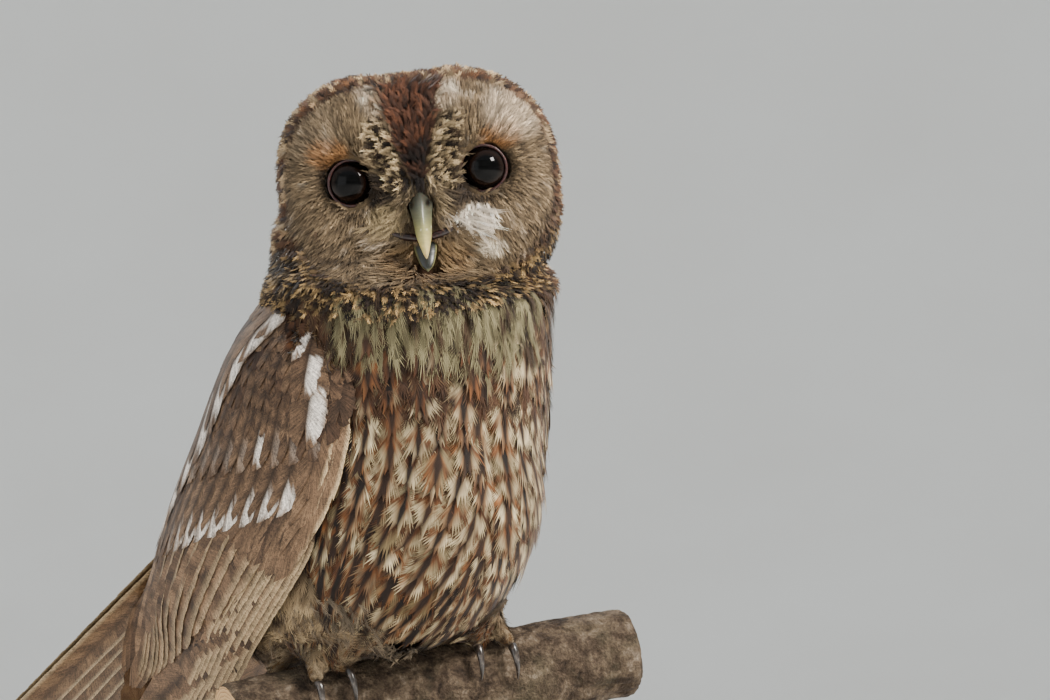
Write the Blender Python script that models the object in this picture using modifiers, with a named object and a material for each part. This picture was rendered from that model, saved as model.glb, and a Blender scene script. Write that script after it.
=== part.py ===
"""Tawny owl, life size, perched on a cut branch over a plain display stand.

Metres, +Z up, the owl's breast towards -Y and its left side at +X. The origin is the middle of
the stand's underside. Shapes are worked out in millimetres about the feet, on the perch's top,
and placed by owl() and face(). The head is turned 40 degrees to the owl's right.
"""

import math

import bmesh
import bpy
from mathutils import Matrix, Vector

# ---------------------------------------------------------------- driving dimensions, in mm
MM = 0.001
GAP = 0.3                      # clearance between touching solids

BASE_WIDTH, BASE_DEPTH, BASE_HEIGHT = 178.0, 196.0, 16.0
BASE_CORNER, BASE_EDGE = 26.0, 2.5
ROD_RADIUS = 4.0
ROD_ALONG_PERCH = (-42.0, 62.0)
ROD_SINK = 8.0                 # how far a rod goes into the base and into the perch

FEET_BEHIND_ORIGIN = -20.0     # the feet's place along Y
PERCH_TOP = 120.0              # height of the perch's top under the owl
PERCH_RADIUS = 20.0
PERCH_ENDS = (-76.0, 100.0)    # along the perch, from under the owl
PERCH_TURN, PERCH_SLOPE = -20.0, 10.5

HEAD_CENTRE = (0.0, -15.5, 193.0)      # at the height of the eyes
HEAD_TURN, HEAD_NOD, HEAD_TILT = -40.0, 3.0, -6.5
HEAD_HALF_WIDTH, HEAD_TOP, HEAD_BOTTOM = 57.5, 45.5, 53.0
CROWN_LEAN = -3.0              # how far the ruffled crown leans sideways
FACE_DEPTH, NAPE_DEPTH = 38.0, 50.0

EYE_RADIUS = 10.3
EYE_CENTRE = (27.0, -22.8, 0.0)
DISC_DISH, DISC_DISH_WIDTH = 7.5, 13.5

TAIL_ROOT = (0.0, 74.0, 64.0)
TAIL_DROP = 40.0               # degrees below the horizontal
TAIL_LENGTH, TAIL_HALF_WIDTH, TAIL_FAN = 174.0, 32.0, 13.0

FOOT_ALONG_PERCH = 36.5
CLAW_RADIUS = 2.3


# ---------------------------------------------------------------- scene, places and materials
for old in list(bpy.data.objects):
    bpy.data.objects.remove(old)

owl_parts = bpy.data.collections.new("tawny_owl")
cutters = bpy.data.collections.new("cutters")
cutters.hide_render = True
for group in (owl_parts, cutters):
    bpy.context.scene.collection.children.link(group)

HEAD_MATRIX = (
    Matrix.Rotation(math.radians(HEAD_TURN), 3, "Z")
    @ Matrix.Rotation(math.radians(HEAD_NOD), 3, "X")
    @ Matrix.Rotation(math.radians(HEAD_TILT), 3, "Y")
)


def owl(x, y, z):
    """A place in mm about the feet, in the row frame in metres."""
    return Vector((x, y + FEET_BEHIND_ORIGIN, z + PERCH_TOP)) * MM


def face(x, y, z):
    """A place in mm about the head's centre, with the face towards -Y, in the row frame in metres."""
    return owl(*(HEAD_MATRIX @ Vector((x, y, z)) + Vector(HEAD_CENTRE)))


def finish(name, colour, roughness, metallic=0.0):
    material = bpy.data.materials.new(name)
    material.use_nodes = True
    shader = material.node_tree.nodes["Principled BSDF"]
    shader.inputs["Base Color"].default_value = (*colour, 1.0)
    shader.inputs["Roughness"].default_value = roughness
    shader.inputs["Metallic"].default_value = metallic
    return material


HEAD_FEATHER = finish("head_feather", (0.33, 0.24, 0.17), 0.85)
BREAST_FEATHER = finish("breast_feather", (0.42, 0.34, 0.25), 0.85)
WING_FEATHER = finish("wing_feather", (0.21, 0.14, 0.09), 0.8)
LEG_FEATHER = finish("leg_feather", (0.40, 0.31, 0.22), 0.85)
EYE_SURFACE = finish("eye", (0.01, 0.008, 0.008), 0.05)
BILL_HORN = finish("bill_horn", (0.48, 0.47, 0.26), 0.4)
CLAW_HORN = finish("claw_horn", (0.05, 0.045, 0.04), 0.3)
BARK = finish("bark", (0.17, 0.15, 0.10), 0.9)
ROD_STEEL = finish("rod_steel", (0.05, 0.05, 0.055), 0.4, 1.0)
BASE_WOOD = finish("base_wood", (0.22, 0.13, 0.07), 0.5)


# ---------------------------------------------------------------- tools
def mesh_object(name, bm, material):
    bmesh.ops.recalc_face_normals(bm, faces=bm.faces)
    mesh = bpy.data.meshes.new(name)
    bm.to_mesh(mesh)
    bm.free()
    mesh.materials.append(material)
    mesh.shade_smooth()
    made = bpy.data.objects.new(name, mesh)
    owl_parts.objects.link(made)
    return made


def loft(name, rings, material, first=None, last=None):
    """A closed skin through rings of as many points each. first and last are end points, or None
    for a flat end."""
    bm = bmesh.new()
    rows = [[bm.verts.new(point) for point in ring] for ring in rings]
    count = len(rows[0])
    for row, following in zip(rows, rows[1:]):
        for i in range(count):
            j = (i + 1) % count
            bm.faces.new((row[i], row[j], following[j], following[i]))
    for row, end in ((rows[0], first), (rows[-1], last)):
        if end is None:
            bm.faces.new(row)
            continue
        tip = bm.verts.new(end)
        for i in range(count):
            bm.faces.new((row[i], row[(i + 1) % count], tip))
    return mesh_object(name, bm, material)


def tube(name, path, radii, sides, material, place=Vector):
    """A round tube through path with a radius at each point, and pointed ends just past its ends."""
    points = [place(point) for point in path]
    rings = []
    for i, point in enumerate(points):
        along = (points[min(i + 1, len(points) - 1)] - points[max(i - 1, 0)]).normalized()
        side = along.orthogonal().normalized() if i == 0 else (side - along * side.dot(along)).normalized()
        across = along.cross(side)
        ring = []
        for k in range(sides):
            turn = 2 * math.pi * k / sides
            ring.append(point + (side * math.cos(turn) + across * math.sin(turn)) * radii[i] * MM)
        rings.append(ring)
    first = points[0] - (points[1] - points[0]).normalized() * radii[0] * 0.6 * MM
    last = points[-1] + (points[-1] - points[-2]).normalized() * radii[-1] * 0.6 * MM
    return loft(name, rings, material, first, last)


def as_cutter(obj, swell=0.0):
    """A hidden copy of obj, swollen by swell mm along its normals."""
    copy = obj.copy()
    copy.name = obj.name + "_cutter"
    copy.data = obj.data.copy()
    for modifier in list(copy.modifiers):
        copy.modifiers.remove(modifier)
    if swell:
        puff = copy.modifiers.new("swell", "DISPLACE")
        puff.strength = swell * MM
        puff.mid_level = 0.0
    cutters.objects.link(copy)
    copy.hide_render = True
    copy.display_type = "WIRE"
    return copy


def cut_clear(obj, *neighbours, gap=GAP):
    """Cuts obj back from each neighbour, with the clearance between them."""
    for neighbour in neighbours:
        cut = obj.modifiers.new("clear_of_" + neighbour.name, "BOOLEAN")
        cut.operation = "DIFFERENCE"
        cut.object = as_cutter(neighbour, gap)


def cut_pocket(obj, name, points, gap=GAP):
    """Cuts the swollen convex hull of points out of obj."""
    bm = bmesh.new()
    for point in points:
        bm.verts.new(point)
    hull = bmesh.ops.convex_hull(bm, input=bm.verts)
    unused = [item for item in hull["geom_interior"] if isinstance(item, bmesh.types.BMVert)]
    bmesh.ops.delete(bm, geom=unused, context="VERTS")
    pocket = mesh_object(name, bm, obj.data.materials[0])
    cut_clear(obj, pocket, gap=gap)
    bpy.data.objects.remove(pocket)


def join(obj, *others):
    """Makes obj one solid with the others, which become helpers."""
    for other in others:
        union = obj.modifiers.new("with_" + other.name, "BOOLEAN")
        union.operation = "UNION"
        union.object = other
        owl_parts.objects.unlink(other)
        cutters.objects.link(other)
        other.hide_render = True
        other.display_type = "WIRE"


def apply_modifiers(obj):
    """Replaces obj's mesh with its evaluated one, so that it can be copied as a cutter."""
    graph = bpy.context.evaluated_depsgraph_get()
    obj.data = bpy.data.meshes.new_from_object(obj.evaluated_get(graph))
    obj.modifiers.clear()


def blend(low, high, share):
    return low + (high - low) * share


# ---------------------------------------------------------------- head
# Ring radii on the face as shares of the outline, then angles round the back of the head.
FACE_RINGS = (0.15, 0.3, 0.45, 0.6, 0.74, 0.87, 0.96)
NAPE_RINGS = (4, 22, 40, 58, 75)
HEAD_SIDES = 30


def hill(x, z, at_x, at_z, width):
    return math.exp(-((x - at_x) ** 2 + (z - at_z) ** 2) / (2 * width * width))


def head_outline(turn):
    """Half width and height of the head's outline at an angle, with a shallow dip at the crown."""
    dip = 4.0 * math.exp(-(((turn - math.pi / 2) / 0.24) ** 2))
    over = math.sin(turn) > 0
    power = 2 / (2.4 if over else 3.2)
    width = math.copysign(abs(math.cos(turn)) ** power, math.cos(turn))
    height = math.copysign(abs(math.sin(turn)) ** power, math.sin(turn))
    lean = CROWN_LEAN * max(0.0, height) ** 2
    return HEAD_HALF_WIDTH * width + lean, (HEAD_TOP - dip if over else HEAD_BOTTOM) * height


def face_depth(x, z, share, turn):
    """Depth of the face: a flattened dome, dished round each eye, with a ridge down to the bill."""
    square = 2.5 + 1.2 * max(0.0, -math.sin(turn))
    dome = FACE_DEPTH * (1 - share**square) ** (1 / square)
    dish = DISC_DISH * sum(hill(x, z, side * EYE_CENTRE[0], 0, DISC_DISH_WIDTH) for side in (-1, 1))
    brows = 3.0 * sum(hill(x, z, side * 13, 16, 7) for side in (-1, 1))
    ridge = 3.0 * math.exp(-((x / 6.0) ** 2) - ((z - 6) / 22.0) ** 2)
    return -(dome - dish + brows + ridge)


def make_head():
    turns = [2 * math.pi * k / HEAD_SIDES for k in range(HEAD_SIDES)]
    rings = []
    for share in FACE_RINGS:
        ring = []
        for turn in turns:
            x, z = (share * half for half in head_outline(turn))
            ring.append(face(x, face_depth(x, z, share, turn), z))
        rings.append(ring)
    for degrees in NAPE_RINGS:
        angle = math.radians(degrees)
        shrink, depth = math.cos(angle), NAPE_DEPTH * math.sin(angle)
        rings.append([face(x * shrink, depth, z * shrink) for x, z in map(head_outline, turns)])
    first = face(0, face_depth(0, 0, 0, 0), 0)
    return loft("head", rings, HEAD_FEATHER, first, face(0, NAPE_DEPTH, 0))


def make_eye(name, side):
    bm = bmesh.new()
    bmesh.ops.create_uvsphere(bm, u_segments=14, v_segments=8, radius=EYE_RADIUS * MM)
    eye = mesh_object(name, bm, EYE_SURFACE)
    eye.rotation_euler = (HEAD_MATRIX @ Matrix.Rotation(math.radians(90), 3, "X")).to_euler()
    eye.location = face(side * EYE_CENTRE[0], *EYE_CENTRE[1:])
    return eye


# Stations of each half of the bill: y, z, width and height of the section.
UPPER_BILL = (
    (-30.0, -11.5, 11.0, 12.0), (-36.5, -12.5, 11.0, 12.5), (-41.0, -16.0, 9.8, 11.5),
    (-44.3, -20.5, 8.2, 9.5), (-45.8, -25.0, 6.2, 7.0), (-46.0, -29.0, 4.0, 4.6), (-45.0, -32.5, 1.8, 2.0),
)
UPPER_BILL_TIP = (-44.4, -33.8)
LOWER_BILL = (
    (-29.0, -25.0, 10.5, 5.0), (-34.5, -29.0, 9.6, 4.4), (-38.5, -33.0, 7.8, 3.6), (-41.0, -36.8, 5.0, 2.6),
)
LOWER_BILL_TIP = (-42.2, -39.2)
BILL_SIDES = 10


def make_bill(name, stations, tip, keel):
    """A horn that narrows along its stations. keel narrows the section towards its ridge."""
    centres = [Vector((0, y, z)) for y, z, _, _ in stations] + [Vector((0, *tip))]
    rings = []
    for i, (_, _, width, height) in enumerate(stations):
        along = (centres[i + 1] - centres[max(i - 1, 0)]).normalized()
        up = Vector((0, along.z, -along.y))
        up = -up if up.y > 0 and up.z < 0 else up
        ring = []
        for k in range(BILL_SIDES):
            turn = 2 * math.pi * k / BILL_SIDES
            narrow = 1 - keel * max(0.0, math.sin(turn))
            x = width / 2 * math.cos(turn) * narrow
            point = centres[i] + up * (height / 2 * math.sin(turn)) + Vector((x, 0, 0))
            ring.append(face(*point))
        rings.append(ring)
    first = face(*(centres[0] + (centres[0] - centres[1]).normalized() * 1.5))
    return loft(name, rings, BILL_HORN, first, face(*centres[-1]))


# ---------------------------------------------------------------- trunk and neck
# Level sections: height, half width, how far forward and how far back of the feet.
TRUNK_SECTIONS = (
    (-1.0, 31.0, 20.0, 66.0), (5.0, 42.0, 38.0, 84.0), (20.0, 51.0, 56.0, 108.0), (40.0, 58.0, 66.0, 105.0),
    (60.0, 61.0, 69.5, 98.0), (80.0, 62.5, 67.5, 86.0), (100.0, 62.5, 68.0, 74.0), (120.0, 61.0, 70.0, 62.0),
    (137.0, 60.0, 70.0, 54.0),
)
TRUNK_BOTTOM = (0.0, 20.0, -3.0)
TRUNK_LEAN, TRUNK_LEAN_HEIGHT = 0.2, 50.0    # the belly's underside follows the perch's slope
NECK_SECTIONS = (
    (137.0, 60.0, 70.0, 53.0), (144.0, 62.5, 67.0, 50.0), (151.0, 64.0, 56.0, 47.0), (161.0, 60.0, 42.0, 44.0),
    (173.0, 51.0, 28.0, 40.0), (186.0, 38.0, 14.0, 32.0),
)
NECK_SWELL, NECK_SWELL_HEIGHT, NECK_SWELL_SPAN = 8.0, 156.0, 10.0   # ruffled out to the owl's left
BODY_SIDES = 26


def level_section(height, half_width, front, back):
    """A level oval, from how far forward to how far back, moved sideways where the neck swells."""
    middle, half_depth = (back - front) / 2, (back + front) / 2
    ring = []
    for k in range(BODY_SIDES):
        turn = 2 * math.pi * k / BODY_SIDES
        x = half_width * math.sin(turn)
        lean = TRUNK_LEAN * x * max(0.0, 1 - height / TRUNK_LEAN_HEIGHT)
        swell = NECK_SWELL * math.exp(-(((height - NECK_SWELL_HEIGHT) / NECK_SWELL_SPAN) ** 2))
        ring.append(owl(x + swell, middle - half_depth * math.cos(turn), height + lean))
    return ring


def refined(sections, steps):
    """Smooth (Catmull-Rom) stations between the given ones."""
    ends = [sections[0], *sections, sections[-1]]
    made = []
    for a, b, c, d in zip(ends, ends[1:], ends[2:], ends[3:]):
        for step in range(steps):
            t = step / steps
            made.append(tuple(
                0.5 * (2 * q + (r - p) * t + (2 * p - 5 * q + 4 * r - s) * t**2 + (3 * q - p - 3 * r + s) * t**3)
                for p, q, r, s in zip(a, b, c, d)
            ))
    made.append(sections[-1])
    return made


def make_trunk():
    rings = [level_section(*section) for section in refined(TRUNK_SECTIONS, 2)]
    return loft("trunk", rings, BREAST_FEATHER, owl(*TRUNK_BOTTOM), None)


def make_neck():
    sections = refined(NECK_SECTIONS, 2)
    sections[0] = (NECK_SECTIONS[0][0] + GAP, *NECK_SECTIONS[0][1:])
    return loft("neck", [level_section(*section) for section in sections], BREAST_FEATHER)


# ---------------------------------------------------------------- wings
# Each section of the folded wing is an arc round the body: height of its front and back edge,
# the arc's centre behind the feet, half width, half depth, its angles and its thickness.
WING_SECTIONS = (
    (137.0, 143.0, 0.0, 53.0, 49.0, 64.0, 118.0, 5.0),
    (107.0, 124.0, 4.0, 65.0, 65.0, 54.0, 159.0, 10.0),
    (68.0, 92.0, 16.0, 69.5, 72.5, 52.0, 162.0, 10.0),
    (36.0, 63.0, 32.0, 70.5, 73.5, 57.0, 162.0, 8.0),
    (3.0, 34.0, 61.0, 63.0, 61.0, 62.0, 150.0, 6.0),
    (-23.0, 16.0, 97.0, 50.0, 38.0, 58.0, 116.0, 4.0),
    (-50.0, -24.0, 136.0, 37.0, 17.0, 62.0, 100.0, 2.6),
    (-58.0, -44.0, 149.0, 31.0, 9.0, 70.0, 96.0, 2.2),
)
WING_TIP = (27.0, 155.0, -57.0)
WING_ARC_POINTS = 8
WING_EDGE = 1.4                # thickness of the wing's edges
WING_GAP = 0.8                 # clearance round the wings


def wing_ring(side, front_z, back_z, middle, half_width, half_depth, front, back, thick):
    outer, inner = [], []
    for k in range(WING_ARC_POINTS):
        share = k / (WING_ARC_POINTS - 1)
        turn = math.radians(blend(front, back, share))
        z = blend(front_z, back_z, share)
        body = math.sqrt(4 * share * (1 - share))
        depth = blend(WING_EDGE, thick, body)
        x, y = half_width * math.sin(turn), -half_depth * math.cos(turn)
        inward = Vector((x / half_width**2, y / half_depth**2)).normalized() * depth
        outer.append(owl(side * x, middle + y, z))
        inner.append(owl(side * (x - inward.x), middle + y - inward.y, z))
    return outer + inner[::-1]


def make_wing(name, side):
    rings = [wing_ring(side, *section) for section in refined(WING_SECTIONS, 2)]
    x, y, z = WING_TIP
    return loft(name, rings, WING_FEATHER, None, owl(side * x, y, z))


# ---------------------------------------------------------------- tail
TAIL_FEATHERS = 12
TAIL_STEPS = 5
TAIL_COLUMNS_EACH = 2
TAIL_SCALLOP, TAIL_ROUNDING = 4.0, 9.0
TAIL_THICK_ROOT, TAIL_THICK_TIP = 9.0, 2.2
TAIL_ARCH = 5.0                # how far the outer feathers lie under the middle ones


def make_tail():
    """A fan of feathers as one plate: its sides spread, and its end is scalloped by the tips."""
    drop = math.radians(TAIL_DROP)
    root = Vector(TAIL_ROOT)
    along = Vector((0, math.cos(drop), -math.sin(drop)))
    up = Vector((0, math.sin(drop), math.cos(drop)))
    columns = TAIL_FEATHERS * TAIL_COLUMNS_EACH
    rings = []
    for step in range(TAIL_STEPS):
        share = step / (TAIL_STEPS - 1)
        over, under = [], []
        for k in range(columns + 1):
            across = 2 * k / columns - 1
            scallop = 1.0 if k % TAIL_COLUMNS_EACH else 0.0
            reach = TAIL_LENGTH - TAIL_ROUNDING * across**2 - TAIL_SCALLOP * (1 - scallop)
            distance = reach * share
            spread = math.tan(math.radians(TAIL_FAN)) * distance
            thick = blend(TAIL_THICK_ROOT, TAIL_THICK_TIP, share**0.6) * (1 - 0.55 * across**2)
            middle = root + along * distance - up * TAIL_ARCH * across**2
            middle.x = across * (TAIL_HALF_WIDTH + spread)
            over.append(owl(*(middle + up * thick / 2)))
            under.append(owl(*(middle - up * thick / 2)))
        rings.append(over + under[::-1])
    return loft("tail", rings, WING_FEATHER)


# ---------------------------------------------------------------- perch and feet
PERCH_ALONG = (
    Matrix.Rotation(math.radians(PERCH_TURN), 3, "Z")
    @ Matrix.Rotation(math.radians(-PERCH_SLOPE), 3, "Y")
    @ Vector((1, 0, 0))
)
PERCH_FORWARD = Vector((PERCH_ALONG.y, -PERCH_ALONG.x, 0)).normalized()
PERCH_UP = PERCH_FORWARD.cross(PERCH_ALONG)
PERCH_SIDES, PERCH_STATIONS = 16, 13


def perch(along, radius, degrees):
    """A place in mm about the feet, given along, out from and round the perch from its top."""
    turn = math.radians(degrees)
    centre = PERCH_ALONG * along - PERCH_UP * PERCH_RADIUS
    return centre + (PERCH_UP * math.cos(turn) + PERCH_FORWARD * math.sin(turn)) * radius


def bark_radius(along, degrees):
    """The perch's radius: bark hollows below the full radius, a swelling and a slight taper."""
    turn = math.radians(degrees)
    hollows = 0.5 + 0.5 * math.sin(0.11 * along + 2 * turn) * math.cos(0.23 * along - 3 * turn)
    under = 0.5 - 0.5 * math.cos(turn)
    swelling = 2.4 * under * math.exp(-(((along - 60) / 18) ** 2))
    return PERCH_RADIUS - 1.3 * hollows * under - 0.5 * hollows + swelling - 0.012 * abs(along)


def make_perch():
    rings = []
    for i in range(PERCH_STATIONS):
        along = blend(*PERCH_ENDS, i / (PERCH_STATIONS - 1))
        angles = [360 * k / PERCH_SIDES for k in range(PERCH_SIDES)]
        rings.append([owl(*perch(along, bark_radius(along, angle), angle)) for angle in angles])
    return loft("perch_branch", rings, BARK)


def perch_hull():
    """The corners of the plain round bar that the bark lies within."""
    angles = [360 * k / PERCH_SIDES for k in range(PERCH_SIDES)]
    return [owl(*perch(along, PERCH_RADIUS + GAP, angle)) for along in PERCH_ENDS for angle in angles]


# Toes: name, sideways drift along the perch in mm, and the angle round it where the claw starts.
TOES = (("inner", -8.0, 50.0), ("middle", 6.0, 56.0), ("outer", 12.0, -42.0), ("rear", -6.0, -44.0))
TOE_RADII = (6.0, 5.5, 5.1, 4.7, 4.1)
TOE_SIDES, CLAW_SIDES = 7, 6
CLAW_STEPS = 5
CLAW_SWEEP = 38.0              # degrees round the perch
PAD_RADIUS = 7.5


def toe_path(foot, drift, end):
    path = []
    for i, radius in enumerate(TOE_RADII):
        share = i / (len(TOE_RADII) - 1)
        out = PERCH_RADIUS + radius + GAP + 0.6 * math.sin(math.pi * share)
        path.append(owl(*perch(foot + drift * share, out, end * share)))
    return path


def claw_path(foot, drift, end):
    """Starts inside the toe's end, bows out and comes back to the bark."""
    path = []
    sign = math.copysign(1, end)
    for i in range(CLAW_STEPS):
        share = i / (CLAW_STEPS - 1)
        out = PERCH_RADIUS + blend(5.0, 1.1, share**1.3) + 2.6 * math.sin(math.pi * share**0.8)
        path.append(owl(*perch(foot + drift * (1 + 0.12 * share), out, end + sign * CLAW_SWEEP * share)))
    return path


def make_foot(side_name, side):
    """Feathered toes round the perch with a pad over them, and a claw as its own solid on each."""
    foot = side * FOOT_ALONG_PERCH
    toes, claws = [], []
    for toe, drift, end in TOES:
        drift *= side
        toes.append(tube(f"toe_{toe}_{side_name}", toe_path(foot, drift, end), TOE_RADII, TOE_SIDES, LEG_FEATHER))
        radii = [CLAW_RADIUS * (1 - 0.88 * (i / (CLAW_STEPS - 1)) ** 1.4) for i in range(CLAW_STEPS)]
        claws.append(tube(f"claw_{toe}_{side_name}", claw_path(foot, drift, end), radii, CLAW_SIDES, CLAW_HORN))
    pad = bmesh.new()
    bmesh.ops.create_uvsphere(pad, u_segments=10, v_segments=7, radius=PAD_RADIUS * MM)
    centre = owl(*perch(foot, PERCH_RADIUS + PAD_RADIUS + GAP + 1.0, 0))
    bmesh.ops.translate(pad, verts=pad.verts, vec=centre)
    foot_solid = mesh_object(f"foot_{side_name}", pad, LEG_FEATHER)
    join(foot_solid, *toes)
    bpy.context.view_layer.update()
    apply_modifiers(foot_solid)
    for claw in claws:
        cut_clear(claw, foot_solid)
    return foot_solid


# Stations of the feathered leg: share of the way down from the belly, radius across and along.
LEG_STATIONS = ((0.0, 15.0, 19.0), (0.3, 16.0, 20.0), (0.6, 13.5, 17.0), (0.85, 10.5, 12.5), (1.0, 8.5, 9.5))
LEG_TOP = (27.0, 4.0, 36.0)
LEG_SIDES = 14


def make_leg(side_name, side, foot_solid):
    top = Vector((side * LEG_TOP[0], *LEG_TOP[1:]))
    ankle = perch(side * FOOT_ALONG_PERCH, PERCH_RADIUS + PAD_RADIUS + 1.0, 0)
    rings = []
    for share, across, along in LEG_STATIONS:
        centre = top.lerp(ankle, share)
        turns = [2 * math.pi * k / LEG_SIDES for k in range(LEG_SIDES)]
        rings.append([
            owl(centre.x + across * math.cos(turn), centre.y + along * math.sin(turn), centre.z) for turn in turns
        ])
    leg = loft(f"leg_{side_name}", rings, LEG_FEATHER)
    cut_clear(leg, foot_solid)
    bpy.context.view_layer.update()
    apply_modifiers(leg)
    return leg


# ---------------------------------------------------------------- stand
def make_base():
    """A flat slab with round corners and softened edges."""
    bm = bmesh.new()
    bmesh.ops.create_cube(bm, size=1.0)
    bmesh.ops.scale(bm, verts=bm.verts, vec=Vector((BASE_WIDTH, BASE_DEPTH, BASE_HEIGHT)) * MM)
    upright = [edge for edge in bm.edges if abs(edge.verts[0].co.z - edge.verts[1].co.z) > BASE_HEIGHT * MM / 2]
    bmesh.ops.bevel(bm, geom=upright, offset=BASE_CORNER * MM, segments=5, profile=0.5, affect="EDGES")
    slab = mesh_object("stand_base", bm, BASE_WOOD)
    slab.location.z = BASE_HEIGHT / 2 * MM
    soften = slab.modifiers.new("soft_edges", "BEVEL")
    soften.width = BASE_EDGE * MM
    soften.limit_method = "ANGLE"
    soften.angle_limit = math.radians(60)
    return slab


def make_rod(name, along):
    """An upright rod from inside the base to inside the perch."""
    under = owl(*perch(along, PERCH_RADIUS, 180))
    foot = (BASE_HEIGHT - ROD_SINK) * MM
    top = under.z + ROD_SINK * MM
    radius = ROD_RADIUS * MM
    bm = bmesh.new()
    bmesh.ops.create_cone(bm, cap_ends=True, segments=16, radius1=radius, radius2=radius, depth=top - foot)
    rod = mesh_object(name, bm, ROD_STEEL)
    rod.location = (under.x, under.y, (top + foot) / 2)
    return rod


# ---------------------------------------------------------------- assembly
head = make_head()
eyes = [make_eye("eye_left", 1), make_eye("eye_right", -1)]
bill_upper = make_bill("bill_upper", UPPER_BILL, UPPER_BILL_TIP, 0.35)
bill_lower = make_bill("bill_lower", LOWER_BILL, LOWER_BILL_TIP, 0.0)
trunk = make_trunk()
neck = make_neck()
wings = [make_wing("wing_left", 1), make_wing("wing_right", -1)]
tail = make_tail()
perch_branch = make_perch()
feet = [make_foot("left", 1), make_foot("right", -1)]
legs = [make_leg("left", 1, feet[0]), make_leg("right", -1, feet[1])]
base = make_base()
rods = [make_rod(f"stand_rod_{i + 1}", along) for i, along in enumerate(ROD_ALONG_PERCH)]

cut_clear(neck, head, bill_lower)
cut_clear(neck, *wings, gap=WING_GAP)
cut_clear(head, *eyes, bill_upper, bill_lower)
cut_clear(trunk, *wings, gap=WING_GAP)
cut_clear(trunk, tail, *legs)
for side_name, foot_solid in zip(("left", "right"), feet):
    cut_pocket(trunk, f"foot_pocket_{side_name}", [vertex.co for vertex in foot_solid.data.vertices])
cut_pocket(trunk, "perch_pocket", perch_hull())
cut_clear(tail, *wings, gap=WING_GAP)
cut_clear(base, *rods)
cut_clear(perch_branch, *rods)
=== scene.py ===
"""Tawny owl, life size, gripping a cut branch on a display stand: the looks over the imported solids."""

import math

import bmesh
import bpy
import numpy as np
from mathutils import Matrix, Vector
from mathutils.bvhtree import BVHTree


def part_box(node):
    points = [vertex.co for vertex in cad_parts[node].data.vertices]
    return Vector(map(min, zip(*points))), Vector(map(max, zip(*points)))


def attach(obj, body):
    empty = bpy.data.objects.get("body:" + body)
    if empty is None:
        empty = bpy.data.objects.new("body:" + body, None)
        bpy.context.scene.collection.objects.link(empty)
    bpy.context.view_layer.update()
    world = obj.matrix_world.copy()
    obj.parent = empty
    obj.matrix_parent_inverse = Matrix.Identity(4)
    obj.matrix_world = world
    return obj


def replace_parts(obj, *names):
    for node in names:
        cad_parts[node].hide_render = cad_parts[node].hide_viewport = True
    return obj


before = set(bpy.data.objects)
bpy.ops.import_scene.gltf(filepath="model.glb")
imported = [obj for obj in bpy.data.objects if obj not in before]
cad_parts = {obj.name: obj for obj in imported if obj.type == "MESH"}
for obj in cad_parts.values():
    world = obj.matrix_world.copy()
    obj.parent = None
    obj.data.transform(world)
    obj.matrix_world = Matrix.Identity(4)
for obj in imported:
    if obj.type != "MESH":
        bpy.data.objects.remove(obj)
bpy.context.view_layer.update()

# ---------------------------------------------------------------- Stand base
# A low slab of oiled walnut, planed flat below, with rounded corners and a softened upper edge.
# It weighs the bird down, and stands on its flat underside.
MM = 0.001
BASE_CORNER = 26.0
BASE_EDGE, BASE_BURR = 2.5, 0.6
BASE_SIDES, BASE_ARC = 96, 8


def linear(code):
    """An sRGB hex colour as linear red, green and blue, by the sRGB curve."""
    srgb = np.array([int(code[i : i + 2], 16) for i in (1, 3, 5)]) / 255
    return np.where(srgb <= 0.04045, srgb / 12.92, ((srgb + 0.055) / 1.055) ** 2.4)


def node(tree, kind, inputs=None, **settings):
    """Adds a shader node: settings are its own, and inputs gives its sockets a value or a link."""
    made = tree.nodes.new("ShaderNode" + kind)
    for name, value in settings.items():
        setattr(made, name, value)
    for name, value in (inputs or {}).items():
        if isinstance(value, bpy.types.NodeSocket):
            tree.links.new(value, made.inputs[name])
        elif isinstance(value, str):
            made.inputs[name].default_value = (*linear(value), 1)
        else:
            made.inputs[name].default_value = value
    return made


def finish(name, inputs):
    """A material of one Principled shader, with its constant sockets set: its node tree and shader."""
    made = bpy.data.materials.new(name)
    made.use_nodes = True
    shader = made.node_tree.nodes["Principled BSDF"]
    for socket, value in inputs.items():
        if isinstance(value, str):
            value = (*linear(value), 1)
        shader.inputs[socket].default_value = value
    return made, made.node_tree, shader


def ramp(tree, factor, *stops):
    """A colour ramp: each stop is a place from 0 to 1 and a hex colour."""
    made = node(tree, "ValToRGB", {"Fac": factor})
    band = made.color_ramp.elements
    while len(band) < len(stops):
        band.new(0.5)
    for element, (place, code) in zip(band, stops):
        element.position, element.color = place, (*linear(code), 1)
    return made.outputs["Color"]


def pattern_space(tree, scale=(1, 1, 1), uv=None):
    """Coordinates of the piece in metres, or of its own UV map, multiplied by a scale on each axis."""
    source = node(tree, "UVMap", uv_map=uv) if uv else node(tree, "TexCoord")
    coordinates = source.outputs["UV" if uv else "Object"]
    return node(tree, "Mapping", {"Vector": coordinates, "Scale": scale}).outputs["Vector"]


def noise(tree, vector, scale, detail=3.0, roughness=0.55, distortion=0.0):
    """Fractal noise from 0 to 1."""
    settings = {"Vector": vector, "Scale": scale, "Detail": detail, "Roughness": roughness}
    return node(tree, "TexNoise", {**settings, "Distortion": distortion}).outputs["Fac"]


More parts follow.
